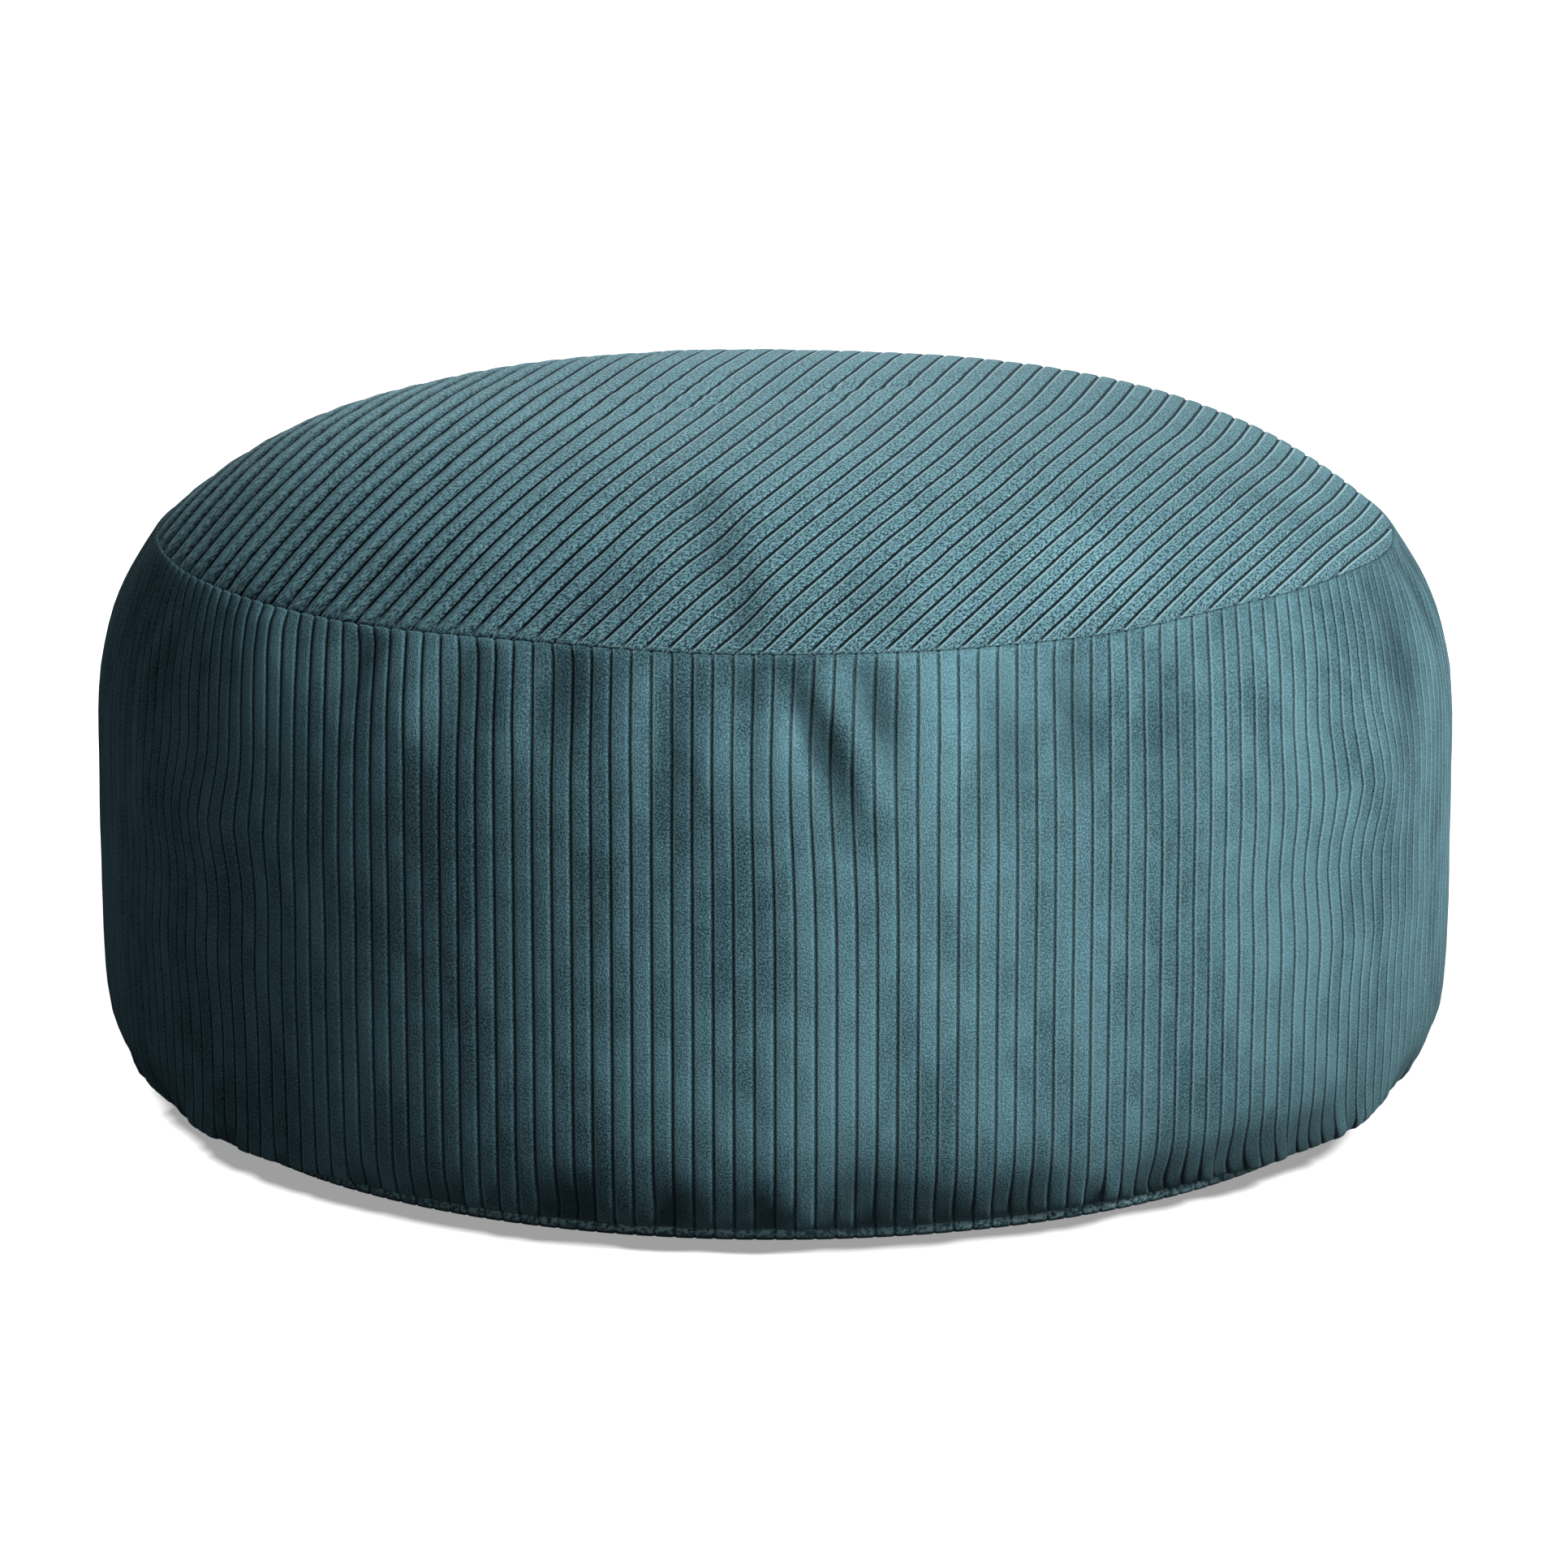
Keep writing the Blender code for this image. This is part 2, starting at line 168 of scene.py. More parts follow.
# Soft troughs (positive depth) and swells (negative depth) of the side, which also set painted
# shade in a trough and a painted highlight on a swell. Lean is in degrees per metre of height.
FRONT_FOLDS = (
    Fold(-62, 0.238, 4.0, 0.014, -0.0016, 0),
    Fold(-53, 0.240, 3.4, 0.014, -0.0014, 0),
    Fold(-48, 0.236, 3.0, 0.020, -0.0018, 0),
    Fold(-37, 0.232, 2.4, 0.024, 0.0020, 0),
    Fold(-31, 0.222, 2.0, 0.018, -0.0010, 0),
    Fold(-26, 0.230, 2.6, 0.026, 0.0022, 20),
    Fold(-21.5, 0.224, 1.8, 0.020, -0.0011, 0),
    Fold(-17.5, 0.234, 2.4, 0.028, 0.0026, 0),
    Fold(-11.5, 0.222, 2.6, 0.022, -0.0018, 0),
    Fold(-8, 0.208, 2.2, 0.026, 0.0021, -20),
    Fold(-4.5, 0.214, 1.8, 0.018, -0.0016, 0),
    Fold(-2.0, 0.238, 1.8, 0.016, 0.0022, 0),
    Fold(0.5, 0.215, 2.2, 0.024, -0.0022, 0),
    Fold(3.6, 0.218, 1.8, 0.030, 0.0050, -90),
    Fold(6.6, 0.208, 1.6, 0.018, -0.0016, -60),
    Fold(8.5, 0.228, 2.0, 0.026, 0.0028, -30),
    Fold(13, 0.224, 2.2, 0.022, -0.0014, 0),
    Fold(18.5, 0.212, 3.0, 0.030, 0.0018, 0),
    Fold(25, 0.220, 2.6, 0.026, 0.0023, 0),
    Fold(33, 0.214, 3.0, 0.030, 0.0012, 30),
    Fold(66, 0.215, 4.0, 0.030, 0.0017, 40),
    Fold(-17, 0.022, 3.4, 0.014, 0.0029, 0),
    Fold(-8, 0.022, 3.0, 0.014, 0.0033, 0),
    Fold(-2, 0.020, 2.4, 0.013, 0.0030, 0),
    Fold(7.5, 0.024, 3.4, 0.017, 0.0041, 0),
    Fold(13, 0.020, 2.8, 0.013, 0.0030, 0),
    Fold(20.5, 0.021, 3.8, 0.014, 0.0037, 0),
    Fold(33, 0.021, 3.6, 0.013, 0.0035, 0),
    Fold(41, 0.022, 3.8, 0.014, 0.0038, 0),
    Fold(50, 0.022, 3.6, 0.014, 0.0037, 0),
    Fold(69, 0.022, 3.8, 0.014, 0.0035, 0),
)
# Where the filling swells the side over a wider part.
SIDE_SWELLS = (
    Fold(-52, 0.150, 5.0, 0.050, -0.0030, 60),
    Fold(58, 0.165, 4.5, 0.040, -0.0035, -60),
    Fold(-54, 0.013, 11.0, 0.014, -0.0050, 0),
    Fold(52, 0.013, 12.0, 0.014, -0.0062, 0),
)

# The rest of the way round, a row of puckers goes on at each seam.
BACK_START = 78
BACK_END = 300
BACK_PUCKERS = (
    Puckers(0.230, 0.025, 10.0, 2.2, 3.0, 0.0012, 0.0027, 40),
    Puckers(0.022, 0.014, 9.5, 2.8, 3.8, 0.0022, 0.0036, 0),
)
SPACING_SPREAD = 0.3
BACK_SEED = 7
# A fold fades out over this height above the crease at the base and below the top seam.
SEAM_HOLD = 0.006

# Dips and rises of the top panel; a dent's depth also sets painted shade in a dip and a painted highlight on
# a rise.
TOP_DENTS = (
    Dent(-38, 0.252, 5.0, 0.016, 0.0008),
    Dent(-17, 0.246, 4.5, 0.020, 0.0008),
    Dent(-2.6, 0.255, 2.2, 0.020, 0.0013),
    Dent(-6, 0.220, 2.6, 0.020, 0.0013),
    Dent(-9.3, 0.186, 3.0, 0.018, 0.0010),
    Dent(9, 0.248, 4.0, 0.020, 0.0007),
    Dent(31, 0.240, 6.0, 0.022, -0.0008),
    Dent(64, 0.236, 5.0, 0.024, 0.0004),
    Dent(118, 0.244, 5.0, 0.022, 0.0010),
    Dent(176, 0.246, 4.4, 0.022, 0.0011),
    Dent(231, 0.244, 5.2, 0.024, 0.0010),
    Dent(287, 0.246, 4.6, 0.020, 0.0009),
)
# Where the filling stands a little higher over a wide part of the crown.
TOP_SWELLS = (
    Dent(-112, 0.222, 30, 0.038, -0.0020),
    Dent(150, 0.170, 30, 0.050, -0.0007),
)

SIDE_LIFT_POWER = 3
CROWN_LIFT_POWER = 2
SEAM_LINE = (
    SeamPoint(-88, 0.0005),
    SeamPoint(-66, -0.0002),
    SeamPoint(-43, -0.0004),
    SeamPoint(-21, 0.0012),
    SeamPoint(-4, -0.0004),
    SeamPoint(13, -0.0004),
    SeamPoint(26, 0.0002),
    SeamPoint(46, 0.0038),
    SeamPoint(60, 0.0034),
    SeamPoint(82, -0.0006),
    SeamPoint(120, 0.0016),
    SeamPoint(165, -0.0014),
    SeamPoint(210, 0.0018),
    SeamPoint(245, -0.0010),
)

# Where the side wales waver: a sideways shift in degrees.
WAVERS = (
    Waver(54, 0.203, 11, 0.015, -0.5),
    Waver(57, 0.170, 9, 0.014, 0.8),
    Waver(51, 0.141, 10, 0.016, -0.6),
    Waver(59, 0.106, 11, 0.015, 0.7),
    Waver(-56, 0.192, 10, 0.016, 0.6),
    Waver(-53, 0.160, 9, 0.014, -0.8),
    Waver(-61, 0.131, 11, 0.014, 0.7),
    Waver(-55, 0.098, 10, 0.016, -0.5),
    Waver(4, 0.205, 6, 0.040, -0.5),
    Waver(140, 0.160, 14, 0.045, 1.0),
    Waver(205, 0.110, 13, 0.045, -1.0),
)

# The simulated cover
COVER_COLUMNS = 240
COVER_RINGS = 30
COVER_TOP_RINGS = 18
COVER_STEPS = 24
COVER_SEED = 3
COVER_JITTER = 0.0004
COVER_CLOTH = {
    "quality": 6,
    "mass": 0.3,
    "tension_stiffness": 30,
    "compression_stiffness": 30,
    "shear_stiffness": 8,
    "bending_stiffness": 3,
    "use_pressure": True,
    "uniform_pressure_force": 4.0,
    "vertex_group_mass": "held",
}
CUT_RADIUS = 0.2995
MOST_MOVE = 0.006
LEAST_TURN_RADIUS = 0.05
SIDE_MOVE_SHARE = 0.9
TOP_MOVE_SHARE = 0.5


def wrapped(degrees):
    """An angle difference in degrees, brought to -180 to 180."""
    return (degrees + 180) % 360 - 180


def bell(along, across):
    """1 at the middle, fading smoothly to 0 within about two half widths."""
    return np.exp(-along * along - across * across)


def smooth_step(value):
    share = np.clip(value, 0, 1)
    return share * share * (3 - 2 * share)


def smooth_curve(at, knots, values):
    """A smooth curve through the knots that doesn't overshoot them."""
    steps = np.diff(knots)
    slopes = np.diff(values) / steps
    same_way = slopes[1:] * slopes[:-1] > 0
    safe = np.where(same_way, slopes[1:] + slopes[:-1], 1.0)
    middle = np.where(same_way, 2 * slopes[1:] * slopes[:-1] / safe, 0.0)
    tangents = np.concatenate(([slopes[0]], middle, [slopes[-1]]))
    piece = np.clip(np.searchsorted(knots, at) - 1, 0, len(steps) - 1)
    share = (at - knots[piece]) / steps[piece]
    low, high = values[piece], values[piece + 1]
    rise = tangents[piece] * steps[piece]
    fall = tangents[piece + 1] * steps[piece]
    square, cube = share**2, share**3
    return (low * (2 * cube - 3 * square + 1) + high * (3 * square - 2 * cube)
            + rise * (cube - 2 * square + share) + fall * (cube - square))


def back_folds():
    """Puckers at both seams where the front table has none."""
    rng = random.Random(BACK_SEED)
    folds = []
    for row in BACK_PUCKERS:
        angle = BACK_START
        while angle < BACK_END:
            half_angle = rng.uniform(row.narrow, row.wide)
            depth = rng.uniform(row.shallow, row.deep)
            lean = rng.uniform(-row.lean, row.lean)
            folds.append(Fold(angle, row.height, half_angle, row.half_height, depth, lean))
            angle += row.spacing * rng.uniform(1 - SPACING_SPREAD, 1 + SPACING_SPREAD)
    return folds


FOLDS = (*FRONT_FOLDS, *back_folds())


def fold_depth(angle, height, folds):
    """How far the folds draw the side in. Both seams hold it."""
    depth = 0.0
    for fold in folds:
        rise = height - fold.height
        turn = wrapped(angle - fold.angle - fold.lean * rise)
        depth = depth + fold.depth * bell(turn / fold.half_angle, rise / fold.half_height)
    low = smooth_step((height - SIDE_PROFILE[0].height) / SEAM_HOLD)
    high = smooth_step((SEAM_HEIGHT - height) / SEAM_HOLD)
    return depth * low * high


def waver_shift(angle, height):
    """How far a side wale strays from its upright line, in degrees."""
    shift = 0.0
    for waver in WAVERS:
        turn = wrapped(angle - waver.angle) / waver.half_angle
        rise = (height - waver.height) / waver.half_height
        shift = shift + waver.shift * bell(turn, rise)
    return shift


def front_spread(angle, inset):
    """How far a wale turns outward where the side draws in, in degrees.

    Across the front the wales keep their spacing and run straight down. The cloth that is
    too much there is gathered at the back.
    """
    turn = np.sin(np.radians(angle))
    return np.degrees(turn * (1 + SPREAD_RISE * turn**2) * (MAX_RADIUS / (MAX_RADIUS - inset) - 1))


def pinch_share(place, height):
    """How far each wale is pinched in over the base edge, from 0 to 1."""
    rng = np.random.default_rng(PINCH_SEED)
    amounts = rng.uniform(0, 1, SIDE_WALES) ** PINCH_POWER
    middle = place - 0.5
    wale = np.floor(middle).astype(int)
    near, far = amounts[wale % SIDE_WALES], amounts[(wale + 1) % SIDE_WALES]
    amount = near + (far - near) * smooth_step(PINCH_STEEPNESS * (middle - wale - 0.5) + 0.5)
    return amount * bell((height - PINCH_HEIGHT) / PINCH_HALF_HEIGHT, 0)


def crease_share(angle):
    """How open the crease at the top seam is, from 0 to 1."""
    return bell(wrapped(angle - CREASE_ANGLE) / CREASE_HALF_ANGLE, 0)


def crease_depth(place, angle):
    """How deep the top seam lies below its two edges, a little more at some side wales."""
    rng = np.random.default_rng(CREASE_SEED)
    amounts = rng.uniform(CREASE_STEADY, 1, SIDE_WALES)
    wale = np.floor(place).astype(int) % SIDE_WALES
    scallop = 1 - CREASE_SCALLOP + CREASE_SCALLOP * np.cos(2 * np.pi * place)
    return CREASE_LEAST + (CREASE_MOST - CREASE_LEAST) * crease_share(angle) * amounts[wale] * scallop


def seam_dark(angle):
    """How much painted shade the top seam's crease gets."""
    return SEAM_LEAST_DARK + (1 - SEAM_LEAST_DARK) * crease_share(angle)


def turned(across, along):
    """The point at a distance across the top wales' direction and a distance along it."""
    x = math.sin(TOP_WALE_ANGLE) * across + math.cos(TOP_WALE_ANGLE) * along
    return x, math.sin(TOP_WALE_ANGLE) * along - math.cos(TOP_WALE_ANGLE) * across


def bow(x, y):
    """How far the wale through (x, y) is bowed there, measured across the wales."""
    share = np.minimum(1.0, np.hypot(x, y) / SEAM_RADIUS)
    turn = np.radians(angle_of(x, y) - TOP_BOW_TURN)
    return TOP_BOW * share**TOP_BOW_POWER * (1 + TOP_BOW_SHARE * np.cos(turn)) / (1 + TOP_BOW_SHARE)


def bowed_rim():
    """The middle, half width and direction of the bowed wales' places along the rim."""
    middle = TOP_BOW / (1 + TOP_BOW_SHARE)
    swing = middle * TOP_BOW_SHARE
    side = SEAM_RADIUS * math.sin(TOP_WALE_ANGLE) + swing * math.sin(math.radians(TOP_BOW_TURN))
    front = SEAM_RADIUS * math.cos(TOP_WALE_ANGLE) + swing * math.cos(math.radians(TOP_BOW_TURN))
    return middle, math.hypot(side, front), math.atan2(side, front)


BOW_MIDDLE, BOW_REACH, BOW_DIRECTION = bowed_rim()


def seam_lift(angle):
    """The top seam's height above its mean, smooth all the way round."""
    first = SEAM_LINE[0]
    closed = (*SEAM_LINE, SeamPoint(first.angle + 360, first.lift))
    turn = (angle - first.angle) % 360 + first.angle
    lift = first.lift
    for low, high in zip(closed, closed[1:]):
        share = np.clip((turn - low.angle) / (high.angle - low.angle), 0, 1)
        lift = lift + (high.lift - low.lift) * (1 - np.cos(np.pi * share)) / 2
    return lift


def polar(radius, angle, height):
    """The points at these radii, angles in degrees and heights, along a last axis."""
    turn = np.radians(angle)
    return np.stack(np.broadcast_arrays(radius * np.sin(turn), -radius * np.cos(turn), height), -1)


def angle_of(x, y):
    return np.degrees(np.arctan2(x, -y))


def dent_depth(angle, radius, dents):
    """How far the top panel dips. The seam holds its rim."""
    depth = 0.0
    for dent in dents:
        turn = wrapped(angle - dent.angle) / dent.half_angle
        depth = depth + dent.depth * bell(turn, (radius - dent.radius) / dent.half_reach)
    return depth * smooth_step((SEAM_RADIUS - radius) / SEAM_HOLD)


def crown_height(angle, radius):
    """The top panel's face over its wales."""
    share = radius / SEAM_RADIUS
    rise = CROWN_RISE * (1 - share**CROWN_POWER) - dent_depth(angle, radius, TOP_DENTS + TOP_SWELLS)
    return SEAM_HEIGHT + seam_lift(angle) * share**CROWN_LIFT_POWER + rise


def crown_slope(radius):
    return -CROWN_RISE * CROWN_POWER / SEAM_RADIUS * (radius / SEAM_RADIUS) ** (CROWN_POWER - 1)


def wale_depth(place, form):
    """Depth below a wale's crest, at a place in pitches: a narrow groove and a soft crown."""
    off_groove = np.abs((place + 0.5) % 1 - 0.5)
    cleft = np.exp(-((off_groove / GROOVE_HALF_WIDTH) ** 2))
    return form.groove * cleft + form.crown * (1 - 2 * off_groove) ** 2


def side_inset(height):
    table = np.array(SIDE_PROFILE)
    return smooth_curve(height, table[:, 0], table[:, 1])


def side_arc():
    """Heights up the side and the arc length to each."""
    heights = np.linspace(SIDE_PROFILE[0].height, SIDE_PROFILE[-1].height, ARC_STEPS)
    insets = side_inset(heights)
    steps = np.hypot(np.diff(heights), np.diff(insets))
    return heights, np.concatenate(([0.0], np.cumsum(steps)))


ARC_HEIGHTS, ARC_LENGTHS = side_arc()


def side_surface(angle, height):
    """The side without its wales: radius, angle and height."""
    radius = MAX_RADIUS - side_inset(height) - fold_depth(angle, height, FOLDS + SIDE_SWELLS)
    lifted = height + seam_lift(angle) * (height / SEAM_HEIGHT) ** SIDE_LIFT_POWER
    return radius, angle, lifted


def grid_faces(numbers, closed):
    """Quads over a grid of point numbers, closed round its columns or not."""
    following = np.roll(numbers, -1, axis=1)
    faces = np.stack((numbers[:-1], following[:-1], following[1:], numbers[1:]), -1)
    return (faces if closed else faces[:, :-1]).reshape(-1, 4).tolist()


def fan_faces(ring, middle, upward):
    """Triangles from a ring of point numbers to its middle point."""
    following = np.roll(ring, -1)
    sides = (ring, following) if upward else (following, ring)
    return np.stack((*sides, np.full(len(ring), middle)), -1).tolist()


def grid_edge(grid):
    """The point numbers round an open grid."""
    return np.concatenate((grid[0], grid[1:-1, -1], grid[-1][::-1], grid[1:-1, 0][::-1]))


def cover_grid():
    """The cover before it is simulated, and as it was cut: side rings, top rings, two middles."""
    rng = np.random.default_rng(COVER_SEED)
    angle = np.arange(COVER_COLUMNS)[None, :] * 360 / COVER_COLUMNS
    arc = np.linspace(0, ARC_LENGTHS[-1], COVER_RINGS)
    height = np.interp(arc, ARC_LENGTHS, ARC_HEIGHTS)[:, None]
    side = polar(*side_surface(angle, height))
    side_cut = polar(CUT_RADIUS, angle, arc[:, None])

    share = 1 - np.arange(1, COVER_TOP_RINGS)[:, None] / COVER_TOP_RINGS
    rim = MAX_RADIUS - SIDE_PROFILE[-1].inset
    top = polar(share * rim, angle, crown_height(angle, share * rim * SEAM_RADIUS / rim))
    top_cut = polar(share * CUT_RADIUS, angle, np.full_like(share, arc[-1]))

    started = np.concatenate((side, top))
    started = started + rng.normal(0, COVER_JITTER, started.shape)
    return started, np.concatenate((side_cut, top_cut))


def cover_faces():
    count = (COVER_RINGS + COVER_TOP_RINGS - 1) * COVER_COLUMNS
    numbers = np.arange(count).reshape(-1, COVER_COLUMNS)
    return [
        *grid_faces(numbers, closed=True),
        *fan_faces(numbers[-1], count, upward=True),
        *fan_faces(numbers[0], count + 1, upward=False),
    ]


def simulate_cover(started, cut):
    """Lets the cover settle under pressure. Returns how far each ring point moved."""
    middles = [(0, 0, TOP_HEIGHT), (0, 0, SIDE_PROFILE[0].height)]
    cut_middles = [(0, 0, cut[-1, 0, 2]), (0, 0, 0)]
    data = bpy.data.meshes.new("cover")
    data.from_pydata([*started.reshape(-1, 3).tolist(), *middles], [], cover_faces())
    cover = bpy.data.objects.new("cover", data)
    bpy.context.scene.collection.objects.link(cover)

    cover.shape_key_add(name="Basis")
    cut_key = cover.shape_key_add(name="Cut")
    cut_key.data.foreach_set("co", np.concatenate((cut.reshape(-1, 3), cut_middles)).ravel())

    held = cover.vertex_groups.new(name="held")
    seam = range((COVER_RINGS - 1) * COVER_COLUMNS, COVER_RINGS * COVER_COLUMNS)
    held.add([*range(COVER_COLUMNS), *seam, len(data.vertices) - 1], 1.0, "REPLACE")

    cloth = cover.modifiers.new("cloth", "CLOTH")
    for name, value in COVER_CLOTH.items():
        setattr(cloth.settings, name, value)
    cloth.settings.rest_shape_key = cut_key
    cloth.settings.effector_weights.gravity = 0
    cloth.collision_settings.use_collision = False
    cloth.point_cache.frame_end = COVER_STEPS

    scene = bpy.context.scene
    for step in range(1, COVER_STEPS + 1):
        scene.frame_set(step)
    settled = cover.evaluated_get(bpy.context.evaluated_depsgraph_get())
    points = np.zeros(len(data.vertices) * 3, np.float32)
    settled.data.vertices.foreach_get("co", points)
    scene.frame_set(1)
    bpy.data.objects.remove(cover)
    return points.reshape(-1, 3)[:-2].reshape(started.shape) - started


def cover_moves():
    """How the cover's rings moved: outward, sideways in degrees, and up.

    Each ring's mean and its lean to one side are taken out, so that the bag keeps its
    profile, and a move is capped.
    """
    started, cut = cover_grid()
    moved = simulate_cover(started, cut)
    radius = np.hypot(started[..., 0], started[..., 1])
    out_x, out_y = started[..., 0] / radius, started[..., 1] / radius
    outward = moved[..., 0] * out_x + moved[..., 1] * out_y
    sideways = moved[..., 1] * out_x - moved[..., 0] * out_y
    moves = np.stack((outward, sideways, moved[..., 2]), -1)
    parts = np.fft.rfft(moves, axis=1)
    parts[:, :2] = 0
    moves = np.fft.irfft(parts, COVER_COLUMNS, axis=1)
    size = np.linalg.norm(moves, axis=-1, keepdims=True)
    moves *= MOST_MOVE * np.tanh(size / MOST_MOVE) / np.maximum(size, 1e-9)
    moves[..., 1] = np.degrees(moves[..., 1] / np.maximum(radius, LEAST_TURN_RADIUS))
    return moves


def spline_weight(distance):
    """The weight of a grid line at that distance, for a smooth curve through the lines."""
    far = np.abs(distance)
    near_part = 1.5 * far**3 - 2.5 * far**2 + 1
    far_part = -0.5 * far**3 + 2.5 * far**2 - 4 * far + 2
    return np.where(far < 1, near_part, np.where(far < 2, far_part, 0.0))


def read_grid(grid, rows, columns):
    """Reads a grid that is closed round its columns, at fractional rows and columns."""
    rows = np.clip(rows, 0, len(grid) - 1)
    rows, columns = np.broadcast_arrays(rows, columns)
    row, column = np.floor(rows).astype(int), np.floor(columns).astype(int)
    value = 0.0
    for i in range(-1, 3):
        for j in range(-1, 3):
            weight = spline_weight(rows - row - i) * spline_weight(columns - column - j)
            near = grid[np.clip(row + i, 0, len(grid) - 1), (column + j) % grid.shape[1]]
            value = value + weight[..., None] * near
    return value


MOVES = cover_moves()
SIDE_MOVES = MOVES[:COVER_RINGS] * SIDE_MOVE_SHARE
TOP_MOVES = MOVES[COVER_RINGS - 1:] * TOP_MOVE_SHARE


def side_rows():
    """Height, inset and relief of every ring of the side, from the underside to the top seam."""
    share = np.linspace(0, 1, BODY_ROWS)
    crowded = share - ROW_CROWDING * np.sin(2 * np.pi * share) / (2 * np.pi)
    arc = crowded * ARC_LENGTHS[-1]
    body_height = np.interp(arc, ARC_LENGTHS, ARC_HEIGHTS)
    base, top = np.array(BASE_EDGE), np.array(TOP_EDGE)
    height = np.concatenate((base[:, 0], body_height, top[:, 0]))
    inset = np.concatenate((base[:, 1], side_inset(body_height), top[:, 1]))
    relief = np.concatenate((base[:, 2], np.ones(BODY_ROWS), top[:, 2]))
    return height[:, None], inset[:, None], relief[:, None]


def side_shade(angle, height, pinched):
    """How much painted shade (positive) or painted highlight (negative) the side gets."""
    # Painted shade on pinched wales over the base edge, painted highlight on the others.
    loose = bell((height - PINCH_HEIGHT) / PINCH_HALF_HEIGHT, 0) - pinched
    over_base = PINCH_PAINTED_SHADE * pinched - LOOSE_PAINTED_HIGHLIGHT * loose
    # Painted shade in the folds' troughs, painted highlight on their swells.
    folded = fold_depth(angle, height, FOLDS) / DEEPEST_FOLD
    from_seam = height - SEAM_HEIGHT
    # Painted shade in the top seam's crease, and a painted highlight on the lip beside it.
    creased = SEAM_LEAST_DARK * bell(from_seam / SEAM_DARK, 0)
    lip = LIP_PAINTED_HIGHLIGHT * crease_share(angle) * bell(from_seam / LIP_REACH, 0)
    # Painted shade on the right, and low down, of the side.
    into_painted_shade = smooth_step((angle - RIGHT_PAINTED_SHADE_START) / RIGHT_PAINTED_SHADE_REACH)
    out_of_painted_shade = smooth_step((180 - angle) / RIGHT_PAINTED_SHADE_FADE)
    low = smooth_step((LOW_PAINTED_SHADE_START - height) / LOW_PAINTED_SHADE_START)
    broad_painted_shade = RIGHT_PAINTED_SHADE * into_painted_shade * out_of_painted_shade + LOW_PAINTED_SHADE * low
    # Painted shade where the base edge turns under.
    under = np.where(height < EDGE_FOOT, 1.0, 0.0)
    return over_base + folded + creased - lip + broad_painted_shade + under


def side_band_points():
    """The side's rings over its wales. The first wale starts at the back."""
    height, inset, relief = side_rows()
    place = (np.arange(SIDE_WALES)[:, None] + np.array(WALE_LINES)).ravel()[None, :]
    cut_angle = (place - SIDE_WALES / 2) * SIDE_PITCH
    pinched = pinch_share(place, height)
    arc = np.interp(height, ARC_HEIGHTS, ARC_LENGTHS)
    moves = read_grid(SIDE_MOVES, arc / ARC_LENGTHS[-1] * (COVER_RINGS - 1),
                      cut_angle / 360 * COVER_COLUMNS)
    angle = cut_angle + front_spread(cut_angle, inset) + waver_shift(cut_angle, height) + moves[..., 1]

    drawn_in = fold_depth(angle, height, FOLDS + SIDE_SWELLS) + PINCH_MOST * pinched
    radius = MAX_RADIUS - inset - drawn_in + moves[..., 0]
    lifted = height + seam_lift(angle) * (height / SEAM_HEIGHT) ** SIDE_LIFT_POWER + moves[..., 2]

    climb, spread = np.gradient(height[:, 0]), np.gradient(-inset[:, 0])
    length = np.hypot(climb, spread)
    out, up = (climb / length)[:, None], (-spread / length)[:, None]
    depth = wale_depth(place, SIDE_WALE) * relief
    near_seam = bell((height - SEAM_HEIGHT) / SEAM_TURN, 0)
    sunk = CREASE_LIP_SHARE * crease_depth(place, angle) * near_seam
    points = polar(radius - depth * out, angle, lifted - depth * up - sunk)
    # The base edge's band, lighter partly in its own colour and partly by painted highlight.
    edge = np.where((height >= EDGE_FOOT) & (height < SIDE_PROFILE[0].height), 1.0, 0.0)
    shade = np.clip(side_shade(angle, height, pinched), -1, 1) * (1 - edge)
    return points, place, height, relief * SIDE_GROOVE_SHARE, shade, edge, 0.0, SIDE_LIT_SHARE


def crown_rings(radii, count, drop):
    """Smooth rings under the crown, from the rim inward."""
    angle = np.arange(count)[None, :] * 360 / count
    radius = np.array(radii)[:, None]
    return polar(radius, angle, crown_height(angle, radius) - drop)


# What the finish reads at each point: its place across the wales in pitches and along them,
# how dark the grooves are there (partly painted shade), how much painted shade (positive) or
# painted highlight (negative) it gets, where the base edge gets its light tufts (partly painted
# highlight), how coarse the pile stands, and how strong the painted highlight beside a groove is.
POINT_VALUES = ("across", "along", "cut", "shade", "edge", "plush", "lit")
SIDE_GROOVE_SHARE = 0.62
SIDE_LIT_SHARE = 0.35
# The top's pile lies along its wales, in longer tufts in the middle than near the seam.
TUFT_SHARE = 0.40
TUFT_SHARE_RIM = 0.15
# Fold and dent depths at which the painted shade is full.
DEEPEST_FOLD = 0.0031
DEEPEST_DENT = 0.0022
# Below this height the base edge turns under and gets painted shade.
EDGE_FOOT = 0.0030
# Over the base edge a pinched wale gets painted shade, and the others a painted highlight.
PINCH_PAINTED_SHADE = 0.6
LOOSE_PAINTED_HIGHLIGHT = 0.4
# The top's grooves are wider and darker between plump wales, with painted shade. Such a wale's
# crest gets a painted highlight, and its side turned away from the light painted shade, in pitches.
TOP_GROOVE_SHARE = 1.4
PLUMP_GROOVE_SHARE = 2.6
PLUMP_PAINTED_HIGHLIGHT = 0.60
PLUMP_LIT_SHARE = 0.35
FLANK_START = 0.54
FLANK_REACH = 0.32
FLANK_PAINTED_SHADE = 1.5
